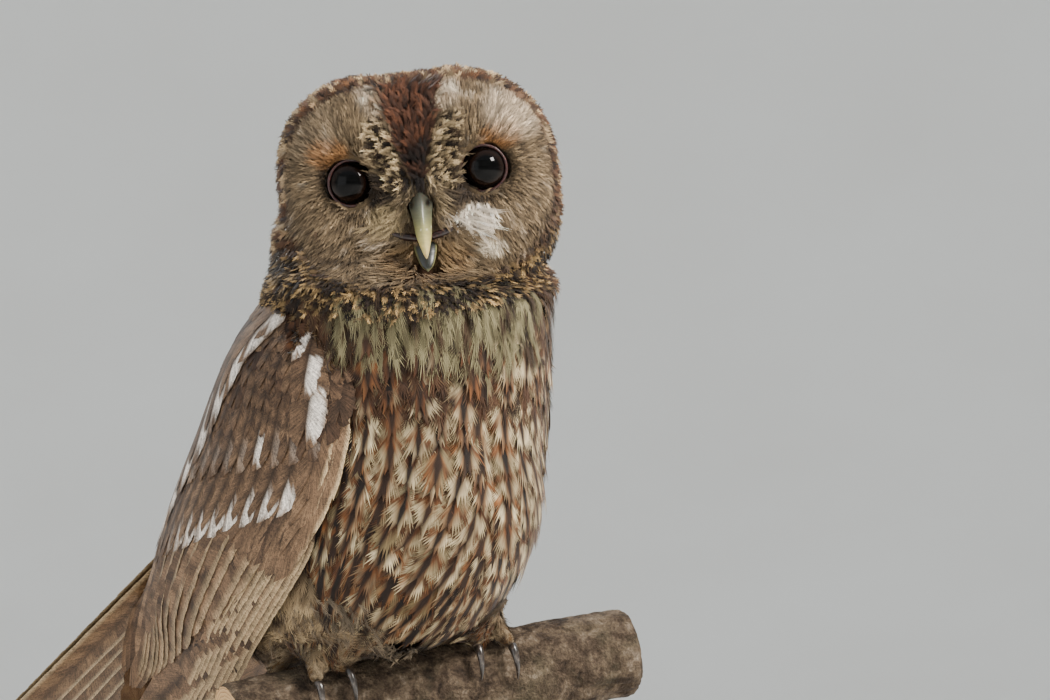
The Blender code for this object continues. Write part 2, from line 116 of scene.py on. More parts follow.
def shaded(tree, shader, pattern, seen, levels, colour=None):
    """Joins a colour, or the piece's own attribute Coat, to the shader, lightened and darkened by a
    pattern: seen is the part of the pattern's range that counts, and levels what it is multiplied by."""
    if colour is None:
        colour = node(tree, "VertexColor", layer_name="Coat").outputs["Color"]
    level = node(tree, "MapRange", {"Value": pattern, "From Min": seen[0], "From Max": seen[1],
                                    "To Min": levels[0], "To Max": levels[1]})
    made = node(tree, "HueSaturation", {"Color": colour, "Value": level.outputs["Result"]})
    tree.links.new(made.outputs["Color"], shader.inputs["Base Color"])


def relief(tree, shader, height, distance, strength=1.0):
    """Bump of a height in metres, joined to the shader's normal."""
    bump = node(tree, "Bump", {"Height": height, "Distance": distance, "Strength": strength})
    tree.links.new(bump.outputs["Normal"], shader.inputs["Normal"])


def grid_faces(rows, columns, wrap=True):
    """Two triangles for each cell of a grid of points; wrap joins the last column to the first."""
    r, c = np.meshgrid(np.arange(rows - 1), np.arange(columns if wrap else columns - 1), indexing="ij")
    a, b = r * columns + c, r * columns + (c + 1) % columns
    cells = vec(a, b, b + columns, a, b + columns, a + columns)
    return cells.reshape(-1, 3)


def mesh_piece(name, points, triangles, surface, replaces=(), colours=None, maps=None,
               merge=False):
    """Puts points in mm and triangles into a mesh at the origin that rides on the body.

    colours go to the attribute Coat, and maps to UV maps, both one value a point."""
    points = np.asarray(points, float).reshape(-1, 3)
    triangles = np.asarray(triangles, int).reshape(-1, 3)
    mesh = bpy.data.meshes.new(name)
    mesh.vertices.add(len(points))
    mesh.vertices.foreach_set("co", (points * MM).ravel().astype(np.float32))
    mesh.loops.add(triangles.size)
    mesh.loops.foreach_set("vertex_index", triangles.ravel().astype(np.int32))
    mesh.polygons.add(len(triangles))
    mesh.polygons.foreach_set("loop_start", np.arange(0, triangles.size, 3, dtype=np.int32))
    mesh.update(calc_edges=True)
    for key, values in (maps or {}).items():
        layer = mesh.uv_layers.new(name=key)
        layer.data.foreach_set("uv", np.asarray(values)[triangles.ravel()].ravel().astype(np.float32))
    if colours is not None:
        layer = mesh.color_attributes.new("Coat", "FLOAT_COLOR", "POINT")
        rgba = np.concatenate([np.clip(colours, 0, 1), np.ones((len(points), 1))], 1)
        layer.data.foreach_set("color", rgba.ravel().astype(np.float32))
    if merge:
        weld(mesh)
    mesh.shade_smooth()
    mesh.materials.append(surface)
    obj = bpy.data.objects.new(name, mesh)
    bpy.context.scene.collection.objects.link(obj)
    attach(obj, "root")
    if replaces:
        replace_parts(obj, *replaces)
    return obj


def weld(mesh):
    """Merges points that share a place, drops the faces that this closes, and turns the rest outwards."""
    bm = bmesh.new()
    bm.from_mesh(mesh)
    bmesh.ops.remove_doubles(bm, verts=bm.verts, dist=1e-7)
    bmesh.ops.dissolve_degenerate(bm, edges=bm.edges, dist=1e-7)
    bmesh.ops.recalc_face_normals(bm, faces=bm.faces)
    bm.to_mesh(mesh)
    bm.free()


def vec(*parts):
    """Coordinates, each an array or one number for all, put side by side as vectors."""
    return np.stack(np.broadcast_arrays(*parts), -1)


def circle(sides):
    """Even turns round a circle, in radians, without the last, which is the first again."""
    return np.linspace(0, 2 * np.pi, sides, endpoint=False)


def node_box(name):
    """A CAD node's lowest and highest corners, in mm."""
    return [np.array(corner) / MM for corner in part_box(name)]


def walnut():
    """Oiled walnut: straight figure along the slab, dark growth lines, open pores and a low satin."""
    surface, tree, shader = finish("oiled_walnut", {
        "Roughness": 0.42, "Coat Weight": 0.15, "Coat Roughness": 0.3})
    figure = noise(tree, pattern_space(tree, (7, 60, 60)), 1.6, 4, 0.6, 0.6)
    pores = noise(tree, pattern_space(tree, (90, 1500, 1500)), 1.0, 2)
    colour = ramp(tree, figure, (0.3, "#2a1a10"), (0.5, "#4c3120"), (0.62, "#6b4a2f"), (0.75, "#3c2618"))
    dark = ramp(tree, pores, (0.3, "#8a7f76"), (0.5, "#ffffff"))
    mix = node(tree, "Mix", {0: 1.0, 6: colour, 7: dark}, data_type="RGBA", blend_type="MULTIPLY")
    tree.links.new(mix.outputs[2], shader.inputs["Base Color"])
    relief(tree, shader, pores, 0.0002, 0.5)
    return surface


def make_base():
    """A rounded rectangle carried up a profile: flat below, upright, then a quarter round and the top."""
    low, high = node_box("stand_base")
    centre, half = (low + high) / 2, (high - low) / 2
    turn = circle(BASE_SIDES) + np.pi / BASE_SIDES
    arc = np.linspace(0, np.pi / 2, BASE_ARC)
    inner, rim = half[0] * 0.98, 12.0
    inset = np.concatenate([[inner, BASE_EDGE, BASE_BURR, 0, 0], BASE_EDGE * (1 - np.cos(arc)), [rim, inner]])
    level = np.concatenate([[low[2]] * 3, [low[2] + BASE_BURR, high[2] - BASE_EDGE - 1],
                            high[2] - BASE_EDGE * (1 - np.sin(arc)), [high[2]] * 2])
    corner = np.maximum(BASE_CORNER - inset, 0.2)[:, None]
    sx, sy = np.sign(np.cos(turn)), np.sign(np.sin(turn))
    x = sx * (half[0] - inset[:, None] - corner) + corner * np.cos(turn)
    y = sy * (half[1] - inset[:, None] - corner) + corner * np.sin(turn)
    x = np.where(sx * x < 0, 0.0, x)
    points = vec(centre[0] + x, centre[1] + y, level[:, None])
    caps = [points[0].mean(0), points[-1].mean(0)]
    points = np.concatenate([np.broadcast_to(caps[0], (1, BASE_SIDES, 3)), points,
                             np.broadcast_to(caps[1], (1, BASE_SIDES, 3))])
    faces = grid_faces(len(points), BASE_SIDES)
    mesh_piece("stand_base_slab", points, faces, walnut(), ["stand_base"], merge=True)


make_base()


# ---------------------------------------------------------------- Stand rods
# Two round rods of blackened steel carry the branch. Each is set into the slab through a turned
# collar, and ends in a flat, chamfered top under the bark.
COLLAR_RADIUS, COLLAR_HEIGHT = 7.5, 5.0
ROD_SIDES = 48


def blackened_steel():
    """Blackened steel rod: a soft metallic grey with faint drawing marks along it."""
    surface, tree, shader = finish("blackened_steel", {"Metallic": 1.0, "Base Color": "#55565a"})
    marks = noise(tree, pattern_space(tree, (900, 900, 30)), 1.0, 2)
    roughness = node(tree, "MapRange", {"Value": marks, "To Min": 0.28, "To Max": 0.5})
    tree.links.new(roughness.outputs["Result"], shader.inputs["Roughness"])
    relief(tree, shader, marks, 0.00005, 0.4)
    return surface


def turned(profile, centre, sides):
    """A profile of radius and height turned about an upright line."""
    turn = circle(sides)
    radius, height = np.array(profile).T
    x, y = radius[:, None] * np.cos(turn), radius[:, None] * np.sin(turn)
    return vec(centre[0] + x, centre[1] + y, height[:, None])


def make_rods():
    steel = blackened_steel()
    slab_top = node_box("stand_base")[1][2]
    for name in ("stand_rod_1", "stand_rod_2"):
        low, high = node_box(name)
        centre, radius = (low + high) / 2, (high[0] - low[0]) / 2
        top, collar, wide = high[2], slab_top + COLLAR_HEIGHT, COLLAR_RADIUS
        profile = [(0, low[2]), (radius, low[2]), (radius, slab_top), (wide, slab_top), (wide, collar - 1),
                   (wide - 0.4, collar - 0.3), (wide - 1, collar), (radius + 0.3, collar),
                   (radius, collar + 0.2), (radius, top - 12), (radius, top - 0.5),
                   (radius - 0.5, top), (0, top)]
        points, faces = turned(profile, centre, ROD_SIDES), grid_faces(len(profile), ROD_SIDES)
        mesh_piece(f"{name}_steel", points, faces, steel, [name], merge=True)


make_rods()


# ---------------------------------------------------------------- Perch
# A short cut length of a living branch, with rough grey-brown bark, some lichen, and sawn ends that
# show its rings. It slopes and turns as the one that the owl grips.
PERCH_TURN, PERCH_SLOPE = -20.0, 10.5
PERCH_TOP, PERCH_RADIUS = 120.0, 20.0
PERCH_ENDS = (-76.0, 100.0)
RING_APART = 1.6
FEET = np.array([0.0, -20.0, PERCH_TOP])
PERCH_STATIONS, PERCH_AROUND, PERCH_RINGS = 230, 176, 22


def rotation(degrees, axis):
    """A turn about one of the axes, as a matrix."""
    return np.array(Matrix.Rotation(math.radians(degrees), 3, axis))


PERCH_ALONG = rotation(PERCH_TURN, "Z") @ rotation(-PERCH_SLOPE, "Y") @ np.array([1.0, 0, 0])
PERCH_FORWARD = np.array([PERCH_ALONG[1], -PERCH_ALONG[0], 0]) / np.hypot(*PERCH_ALONG[:2])
PERCH_UP = np.cross(PERCH_FORWARD, PERCH_ALONG)


def cloud(points, size, seed=0):
    """Smooth noise from -1 to 1: a random value at each corner of a lattice, eased between corners."""
    cell = np.asarray(points, float) / size + 31.7 * seed
    low = np.floor(cell)
    t = cell - low
    t = t * t * (3 - 2 * t)
    total = 0
    for corner in range(8):
        step = np.array([corner & 1, corner >> 1 & 1, corner >> 2])
        wave = np.sin((low + step) @ np.array([12.9898, 78.233, 37.719])) * 43758.5453
        weight = np.prod(np.where(step, t, 1 - t), -1)
        total = total + weight * (wave - np.floor(wave))
    return 2 * total - 1


def smooth(low, high, value):
    """0 below low, 1 above high, eased between; it falls where low is above high."""
    share = np.clip((np.asarray(value, float) - low) / (high - low), 0, 1)
    return share * share * (3 - 2 * share)


def perch(along, radius, turn):
    """Places about the branch from its top line: along it, out from its heart, round it."""
    heart = FEET + PERCH_ALONG * along[..., None] - PERCH_UP * PERCH_RADIUS
    out = PERCH_UP * np.cos(turn)[..., None] + PERCH_FORWARD * np.sin(turn)[..., None]
    return heart + out * radius[..., None]


def bark():
    """Rough bark of an old broadleaf branch: grey-brown plates, dark furrows, dry and matt, with lichen."""
    surface, tree, shader = finish("branch_bark", {"Roughness": 0.9, "Specular IOR Level": 0.2})
    plates = noise(tree, pattern_space(tree), 150, 5, 0.65, 0.3)
    patches = noise(tree, pattern_space(tree), 46, 4, 0.6, 0.4)
    grain = noise(tree, pattern_space(tree), 900, 3, 0.6)
    colour = ramp(tree, plates, (0.3, "#1c1510"), (0.45, "#3b3026"), (0.58, "#574a3c"), (0.74, "#7d7061"))
    lichen = ramp(tree, patches, (0.5, "#000000"), (0.75, "#808080"))
    mix = node(tree, "Mix", {0: lichen, 6: colour, 7: "#5d5c46"}, data_type="RGBA", blend_type="MIX")
    shaded(tree, shader, grain, (0.3, 0.7), (0.6, 1.35), mix.outputs[2])
    rough = node(tree, "Math", {0: plates, 1: grain}, operation="ADD")
    relief(tree, shader, rough.outputs["Value"], 0.0012, 0.9)
    return surface


def sawn_end():
    """Sawn end grain: pale wood with a darker line at the end of each year's ring, and fine saw marks."""
    surface, tree, shader = finish("sawn_end_grain", {"Roughness": 0.8})
    rings = pattern_space(tree, uv="Rings")
    distance = node(tree, "VectorMath", {0: rings}, operation="LENGTH").outputs["Value"]
    wobble = noise(tree, rings, 0.25, 2)
    lines = node(tree, "Math", {0: distance, 1: 1 / RING_APART}, operation="MULTIPLY")
    lines = node(tree, "Math", {0: lines.outputs[0], 1: wobble}, operation="ADD")
    lines = node(tree, "Math", {0: lines.outputs[0], 1: 1.0}, operation="FRACT")
    colour = ramp(tree, lines.outputs[0], (0.0, "#b08a5c"), (0.7, "#c8a577"), (0.92, "#8a6138"),
                  (1.0, "#a47c50"))
    saw = noise(tree, pattern_space(tree, (0.4, 6, 1), uv="Rings"), 1.0, 2)
    shaded(tree, shader, saw, (0, 1), (0.75, 1.15), colour)
    relief(tree, shader, saw, 0.0003, 0.5)
    return surface


def make_perch():
    """The bark is a tube whose radius dips in furrows of noise, drawn out along the branch."""
    turn = circle(PERCH_AROUND)
    along = np.linspace(*PERCH_ENDS, PERCH_STATIONS)
    s, a = np.meshgrid(along, turn, indexing="ij")
    hollows = 0.5 + 0.5 * np.sin(0.11 * s + 2 * a) * np.cos(0.23 * s - 3 * a)
    under = 0.5 - 0.5 * np.cos(a)
    knot = 2.4 * under * np.exp(-(((s - 60) / 18) ** 2))
    radius = PERCH_RADIUS - 1.3 * hollows * under - 0.5 * hollows + knot - 0.012 * np.abs(s)
    heart = vec(s * 0.35, PERCH_RADIUS * np.cos(a), PERCH_RADIUS * np.sin(a))
    plates = np.abs(cloud(heart, 5.2, 1)) ** 0.6 + 0.5 * np.abs(cloud(heart, 2.3, 2))
    fine = cloud(heart * np.array([2.4, 1, 1]), 1.3, 3)
    radius = radius - 1.0 + 1.1 * np.clip(plates, 0, 1) + 0.16 * fine
    edge = np.minimum(s - PERCH_ENDS[0], PERCH_ENDS[1] - s)
    radius = radius - 1.1 * (1 - smooth(0, 2.2, edge))
    points = perch(s, radius, a)
    faces = grid_faces(PERCH_STATIONS, PERCH_AROUND)
    mesh_piece("perch_bark", points, faces, bark(), ["perch_branch"])

    rings, ends = np.linspace(0, 1, PERCH_RINGS)[:, None], []
    for row, facing in ((0, -1), (-1, 1)):
        rim = radius[row][None] * rings
        dish = np.full_like(rim, along[row]) - facing * 0.25 * np.abs(cloud(
            vec(rim * np.cos(turn), rim * np.sin(turn), rim * 0), 6.0, 4))
        disc = perch(dish, rim, np.broadcast_to(turn, rim.shape))
        uv = vec(rim * np.cos(turn), rim * np.sin(turn))
        cells = grid_faces(PERCH_RINGS, PERCH_AROUND)
        ends.append((disc, uv, cells if facing < 0 else cells[:, ::-1]))
    points = np.concatenate([disc.reshape(-1, 3) for disc, _, _ in ends])
    uvs = np.concatenate([uv.reshape(-1, 2) for _, uv, _ in ends])
    faces = np.concatenate([ends[0][2], ends[1][2] + ends[0][0].size // 3])
    mesh_piece("perch_sawn_ends", points, faces, sawn_end(), (), maps={"Rings": uvs})


make_perch()


# ---------------------------------------------------------------- Skin
# One tanned skin over the mannikin, without a seam: the CAD's head, neck, trunk, tail, wings, legs
# and feet, gone over with an even net and taken in by the depth of the plumage that grows on it.
TORSO = ("head", "neck", "trunk", "leg_left", "leg_right", "foot_left", "foot_right")
LIMBS = ("wing_left", "wing_right", "tail")
COAT_DEPTH = {"head": 2.4, "neck": 5.5, "trunk": 4.6, "leg": 1.8, "foot": 0.8, "wing": 0.5, "tail": 0.5}
HEAD_CENTRE = np.array([0.0, -35.5, 313.0])
HEAD_TURN, HEAD_NOD, HEAD_TILT = -40.0, 3.0, -6.5
HEAD_AXES = rotation(HEAD_TURN, "Z") @ rotation(HEAD_NOD, "X") @ rotation(HEAD_TILT, "Y")
EYE_APART = 27.0


def in_head(points):
    """Places in the head's own axes, in mm: x to the owl's left, y backwards, z up from the eye line."""
    return (points - HEAD_CENTRE) @ HEAD_AXES


def from_head(points):
    return np.asarray(points, float) @ HEAD_AXES.T + HEAD_CENTRE


def unit(vectors):
    return vectors / np.maximum(np.linalg.norm(vectors, axis=-1, keepdims=True), 1e-9)


def lerp(low, high, share):
    return low + (high - low) * share


def read(items, name, width, kind=np.float32):
    """One attribute of a mesh's points or faces, a row each."""
    values = np.zeros((len(items), width), kind)
    items.foreach_get(name, values.ravel())
    return values


def merged(names, label):
    """A new mesh of CAD nodes put together, with the points that share a place merged."""
    bm = bmesh.new()
    for name in names:
        bm.from_mesh(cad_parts[name].data)
    bmesh.ops.remove_doubles(bm, verts=bm.verts, dist=1e-6)
    bmesh.ops.recalc_face_normals(bm, faces=bm.faces)
    mesh = bpy.data.meshes.new(label)
    bm.to_mesh(mesh)
    bm.free()
    return mesh


class Form:
    """CAD nodes merged, covered with an even net and eased: a smooth body that plumage lies on."""

    def __init__(self, names, net, ease):
        mesh = merged(names, "working_copy")
        obj = bpy.data.objects.new("working_copy", mesh)
        bpy.context.scene.collection.objects.link(obj)
        even = obj.modifiers.new("even", "REMESH")
        even.mode, even.voxel_size = "VOXEL", net * MM
        eased = obj.modifiers.new("eased", "SMOOTH")
        eased.iterations, eased.factor = ease, 0.5
        seen = obj.evaluated_get(bpy.context.evaluated_depsgraph_get())
        mesh = bpy.data.meshes.new_from_object(seen)
        bpy.data.objects.remove(obj)
        self.points = read(mesh.vertices, "co", 3).astype(float) / MM
        self.normals = read(mesh.vertices, "normal", 3).astype(float)
        self.quads = read(mesh.polygons, "vertices", 4, np.int32)
        self.tree = BVHTree.FromPolygons(self.points.tolist(), self.quads.tolist())

    def at(self, places):
        """The nearest points of the form, and its normals there, weighed over the face's corners."""
        found = [self.tree.find_nearest(place) for place in np.asarray(places).tolist()]
        near = np.array([hit[0] for hit in found])
        corners = self.quads[[hit[2] for hit in found]]
        apart = np.linalg.norm(self.points[corners] - near[:, None], axis=-1)
        weight = 1 / (apart[..., None] + 0.3)
        return near, unit((self.normals[corners] * weight).sum(1))

    def scatter(self, keep, spacing, rng, tries=7):
        """Places on the form about that far apart: random ones, thinned to one for each cell."""
        a, b, c, d = (self.points[self.quads[:, k]] for k in range(4))
        area = np.linalg.norm(np.cross(c - a, d - b), axis=-1) / 2
        inside = keep((a + c) / 2)
        chance = area * inside
        count = int(tries * chance.sum() / spacing**2)
        pick = rng.choice(len(area), count, p=chance / chance.sum())
        u, v = rng.random((2, count, 1))
        places = (a[pick] * (1 - u) + b[pick] * u) * (1 - v) + (d[pick] * (1 - u) + c[pick] * u) * v
        cells = np.floor(places / spacing + rng.random(3)).astype(int)
        _, first = np.unique(cells, axis=0, return_index=True)
        places = places[np.sort(first)]
        return places[keep(places)]


def eye_distance(local):
    """How far a place on the face is from the nearer eye's middle, seen from the front."""
    return np.hypot(np.abs(local[..., 0]) - EYE_APART, local[..., 2])


def skin_depth(points):
    """The plumage's depth at each place: that of the nearest CAD node, less round the eyes and bill."""
    corners, faces, owner = [], [], []
    start = 0
    for name in TORSO + LIMBS:
        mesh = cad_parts[name].data
        corners.append(read(mesh.vertices, "co", 3) / MM)
        faces.append(read(mesh.polygons, "vertices", 3, np.int32) + start)
        owner += [name.split("_")[0]] * len(mesh.polygons)
        start += len(mesh.vertices)
    tree = BVHTree.FromPolygons(np.concatenate(corners).tolist(), np.concatenate(faces).tolist())
    kinds = np.array([owner[tree.find_nearest(place)[2]] for place in points.tolist()])
    depth = np.select([kinds == kind for kind in COAT_DEPTH], list(COAT_DEPTH.values()))
    local = in_head(points)
    front = (local[:, 1] < -10) & (kinds == "head")
    bill = np.hypot(local[:, 0] / 14, (local[:, 2] + 14) / 18)
    close = np.minimum(smooth(8, 15, eye_distance(local)), smooth(0.6, 1.3, bill))
    return np.where(front, lerp(0.7, depth, close), depth), kinds


def eased_over(values, quads, rounds):
    """Values at the corners of a net, each replaced by the mean of its neighbours, several times."""
    pairs = np.concatenate([quads[:, [k, (k + 1) % 4]] for k in range(4)])
    pairs = np.concatenate([pairs, pairs[:, ::-1]])
    count = np.bincount(pairs[:, 0], minlength=len(values))
    for _ in range(rounds):
        values = np.bincount(pairs[:, 0], values[pairs[:, 1]], minlength=len(values)) / np.maximum(count, 1)
    return values


torso = Form(TORSO, 3.0, 6)


def mixed(low, high, share):
    """Colours from low to high, each a hex code or linear values, by a share at each place."""
    low, high = (linear(colour) if isinstance(colour, str) else colour for colour in (low, high))
    return lerp(low, high, np.asarray(share)[..., None])


# The last of these is a near black, painted as shade inside the nostrils.
UMBER, CREAM, WHITE, NOSTRIL_SHADE = "#2b1a10", "#cdbb9b", "#e9e1d2", "#150e0a"
DISC_DARK, DISC_PALE = "#281d13", "#877358"


def disc_reach(local):
    """0 at the middle of the facial disc and 1 on its border: a squarish oval, higher above."""
    x, z = local[..., 0], local[..., 2] + 4
    tall = np.where(z > 0, 42.0, 39.5)
    return ((np.abs(x) / 54.0) ** 2.7 + (np.abs(z) / tall) ** 2.7) ** (1 / 2.7)


def wedge_width(z):
    """Half width of the dark wedge that comes down from the crown between the discs."""
    return np.interp(z, (-4, 5.5, 19, 34, 44), (2.6, 5.0, 8.5, 11.0, 15.0))


def patch(local, x, z, wide, tall):
    """A soft spot on the face: 1 in its middle, and none past its edges."""
    return smooth(1.25, 0.7, np.hypot((local[..., 0] - x) / wide, (local[..., 2] - z) / tall))


def face_marks(local):
    """Colours of the face: two grey-brown discs, the wedge, brows, cheeks, lores, chin and rim."""
    x, z = local[..., 0], local[..., 2]
    mottle = cloud(local, 3.4, 5)
    rings = np.sin(eye_distance(local) * 2 * np.pi / 6.5 + 2.5 * cloud(local, 12.0, 14))
    colour = mixed(DISC_DARK, DISC_PALE, 0.5 + 0.24 * cloud(local, 9.0, 6) + 0.22 * mottle + 0.13 * rings)
    for side in (-1, 1):
        colour = mixed(colour, "#8f6238", 0.7 * patch(local, side * 35, 12, 8, 5.5))
        # The pale patch high on each outer disc is the disc's own pale mark, painted stronger on the owl's
        # left as painted light on its lit side.
        colour = mixed(colour, "#b8a68f", (0.3 + 0.22 * side) * patch(local, side * 42, 22, 13, 12))
        # A dark patch below each eye's inner corner, beside the bill: painted shade in the hollow between eye
        # and bill.
        colour = mixed(colour, "#2a211a", 0.9 * patch(local, side * 16.0, -6, 6.0, 8))
    # One pale cheek mark: painted near white on the owl's left as painted light, and buff on its right (next
    # line) as painted shade.
    colour = mixed(colour, "#d3c6b4", 0.9 * smooth(0.2, 0.75, patch(local, 22, -19, 9, 6.5) + 0.45 * mottle))
    colour = mixed(colour, "#a08c68", 0.8 * patch(local, -15, -16, 8, 6.0))
    colour = mixed(colour, "#cbbda6", 0.75 * patch(local, 26, -31, 7, 3.5))
    lores = smooth(1.2, 0.6, np.hypot(x / 12, (z + 10) / 11))
    colour = mixed(colour, mixed("#46382a", "#9a8768", 0.5 + 0.5 * mottle), lores)
    chin = smooth(1.1, 0.7, np.hypot(x / 19, (z + 34) / 10))
    colour = mixed(colour, mixed("#4a3624", "#8f7553", 0.5 + 0.5 * mottle), chin)
    brow = np.abs(x) - wedge_width(z)
    on_brow = smooth(-1, 1.5, brow) * smooth(15, 9, brow) * smooth(-8, -3, z) * smooth(27, 19, z)
    on_brow = on_brow * smooth(9.2, 12.0, eye_distance(local))
    curls = smooth(-0.25, 0.35, cloud(local, 1.7, 7))
    colour = mixed(colour, mixed("#20150d", "#b8a17c", curls), on_brow)
    stripe = smooth(6.5, 3.5, np.abs(np.abs(x) - 17.5 - 0.25 * (z - 36))) * smooth(22, 31, z)
    colour = mixed(colour, mixed("#6b5138", "#cdc0ab", np.clip(0.4 + 0.7 * mottle, 0, 1)), 0.75 * stripe)
    wedge = smooth(1.8, -1.2, brow) * smooth(-9, -3, z)
    deep = mixed("#150a06", "#553320", np.clip(0.3 + 0.45 * cloud(local, 2.6, 8) + 0.016 * (z - 14), 0, 1))
    return mixed(colour, deep, wedge)


def crown_marks(local):
    """Crown, rim and nape: dark brown and rufous, broken by buff bars a few millimetres apart."""
    speckle = cloud(local, 3.0, 9)
    colour = mixed("#1c1009", "#573a24", np.clip(0.42 + 0.75 * speckle, 0, 1))
    pale = smooth(0.12, 0.5, cloud(local, 3.4, 10))
    return mixed(colour, "#b59c77", 0.7 * pale)


def head_marks(local):
    """The whole head: the face's colours inside the disc, the rim's and the crown's outside it."""
    reach = disc_reach(local)
    front = smooth(4, -4, local[..., 1])
    inside = front * smooth(1.03, 0.95, reach)
    below = smooth(-18, -30, local[..., 2]) * front
    ruff = mixed("#1b110a", "#93784f", smooth(-0.15, 0.5, cloud(local, 2.0, 11)))
    colour = mixed(crown_marks(local), ruff, below)
    border = smooth(0.9, 0.97, reach) * smooth(1.09, 1.0, reach) * front
    dark_side = 0.45 + 0.55 * smooth(30, 42, local[..., 0]) * smooth(-5, -20, local[..., 2])
    return mixed(mixed(colour, UMBER, border * dark_side), face_marks(local), inside)


def body_marks(places):
    """Neck, breast and belly under the feathers' tips: brown, dark above, paler low down."""
    low = smooth(250, 190, places[..., 2])
    colour = mixed("#3b2718", "#8d6e4c", low * 0.8)
    return mixed(colour, CREAM, 0.5 * smooth(0.1, 0.6, cloud(places, 6.0, 12)) * low)


def wing_marks(places):
    """Upper side of the wings and tail: warm brown, finely mottled."""
    return mixed("#4d3422", "#8a694a", 0.5 + 0.5 * cloud(places, 4.0, 13))


def downy_skin():
    """Dry skin with down: matt, in the plumage's own colours, with a fine uneven nap."""
    surface, tree, shader = finish("downy_skin", {"Roughness": 0.95, "Specular IOR Level": 0.15})
    nap = noise(tree, pattern_space(tree), 1400, 3, 0.6)
    shaded(tree, shader, nap, (0.3, 0.7), (0.5, 1.05))
    relief(tree, shader, nap, 0.0006, 0.8)
    return surface


def make_skin():
    whole = Form(TORSO + LIMBS, 2.1, 3)
    depth, kinds = skin_depth(whole.points)
    for k in np.flatnonzero(np.isin(kinds, ("wing", "tail"))):
        up = Vector(whole.normals[k])
        hit = whole.tree.ray_cast(Vector(whole.points[k]) - up * 0.2, -up, 40)
        depth[k] = min(2.6, 0.42 * (hit[3] or 40))
    depth = eased_over(depth, whole.quads, 4)
    points = whole.points - whole.normals * depth[:, None]
    limb = np.isin(kinds, ("wing", "tail"))[:, None]
    colours = np.where(limb, wing_marks(whole.points), body_marks(whole.points))
    # The skin's colours are the markings above multiplied by 0.6 all over: painted shade beneath the plumage
    # that covers it.
    colours = np.where((kinds == "head")[:, None], head_marks(in_head(whole.points)), colours) * 0.6
    triangles = np.concatenate([whole.quads[:, [0, 1, 2]], whole.quads[:, [0, 2, 3]]])
    mesh_piece("skin", points, triangles, downy_skin(), TORSO + LIMBS, colours)


make_skin()


# ---------------------------------------------------------------- Eyes
# Glass eyes, near black, with a dark brown iris round a wide pupil and a polished bulging front.
# They sit in the skull behind round, bare, reddish lids.
EYE_RADIUS, EYE_TURN = 10.3, 9.0
PUPIL, IRIS = 5.2, 8.4
EYE_ROWS, EYE_COLUMNS = 48, 72
SIDES = (("left", 1), ("right", -1))


def eye_glass():
    """Painted glass: deep brown iris with fine rays, black pupil, and a polished face."""
    surface, tree, shader = finish("dark_eye_glass", {
        "Roughness": 0.04, "IOR": 1.33, "Specular IOR Level": 0.22})
    plan = node(tree, "UVMap", uv_map="Iris").outputs["UV"]
    distance = node(tree, "VectorMath", {0: plan}, operation="LENGTH").outputs["Value"]
    share = node(tree, "Math", {0: distance, 1: 1 / 10.0}, operation="MULTIPLY").outputs[0]
    rays = noise(tree, node(tree, "VectorMath", {0: plan}, operation="NORMALIZE").outputs[0], 9.0, 3)
    share = node(tree, "Math", {0: node(tree, "Math", {0: rays, 1: 0.5}, operation="SUBTRACT").outputs[0],
                                1: 0.05, 2: share}, operation="MULTIPLY_ADD").outputs[0]
    colour = ramp(tree, share, (PUPIL / 10 - 0.02, "#020202"), (PUPIL / 10 + 0.03, "#0d0806"),
                  (0.72, "#170d08"), (IRIS / 10, "#050303"))
    tree.links.new(colour, shader.inputs["Base Color"])
    return surface


def make_eyes():
    """A ball turned a little outwards, that swells forward over the pupil by half a millimetre."""
    glass = eye_glass()
    polar, turn = np.meshgrid(np.linspace(0, np.pi, EYE_ROWS),
                              circle(EYE_COLUMNS), indexing="ij")
    radius = EYE_RADIUS + 0.45 * np.exp(-((polar / 0.6) ** 2)) - 0.1
    ball = vec(np.sin(polar) * np.cos(turn), -np.cos(polar), np.sin(polar) * np.sin(turn))
    plan = vec(polar * np.cos(turn), polar * np.sin(turn)) * EYE_RADIUS
    faces = grid_faces(EYE_ROWS, EYE_COLUMNS)[:, ::-1]
    for name, side in SIDES:
        low, high = node_box(f"eye_{name}")
        gaze = rotation(side * EYE_TURN, "Z")
        local = (ball * radius[..., None]) @ gaze.T
        points = (low + high) / 2 + local.reshape(-1, 3) @ HEAD_AXES.T
        mesh_piece(f"eye_ball_{name}", points, faces, glass, [f"eye_{name}"],
                   maps={"Iris": plan.reshape(-1, 2)}, merge=True)


make_eyes()

LID_RADIUS, LID_THICK = 9.0, 0.6
LID_AROUND, LID_ACROSS = 96, 14


def lid_skin():
    """Bare eyelid skin: dark red-brown, finely creased, a little moist."""
    surface, tree, shader = finish("bare_eyelid_skin", {"Roughness": 0.38, "Specular IOR Level": 0.4})
    creases = noise(tree, pattern_space(tree), 1500, 3)
    tree.links.new(ramp(tree, creases, (0.35, "#160908"), (0.55, "#351917"), (0.7, "#512a26")),
                   shader.inputs["Base Color"])
    relief(tree, shader, creases, 0.0003, 0.6)
    return surface


def make_lids():
    """A ring of round section on the ball's rim, its thickness wavering round it, set just off the glass."""
    skin = lid_skin()
    a, b = np.meshgrid(circle(LID_AROUND),
                       circle(LID_ACROSS), indexing="ij")
    sink = math.sqrt(EYE_RADIUS**2 - LID_RADIUS**2)
    thick = LID_THICK * (1 + 0.12 * np.sin(7 * a + 1) * np.sin(3 * a))
    radius = LID_RADIUS + 0.35 + thick * np.cos(b)
    faces = grid_faces(LID_AROUND + 1, LID_ACROSS) % a.size
    for name, _ in SIDES:
        low, high = node_box(f"eye_{name}")
        local = vec(radius * np.cos(a), -sink - 0.1 - thick * np.sin(b), radius * np.sin(a))
        points = (low + high) / 2 + local.reshape(-1, 3) @ HEAD_AXES.T
        mesh_piece(f"eyelid_{name}", points, faces, skin, merge=True)


make_lids()


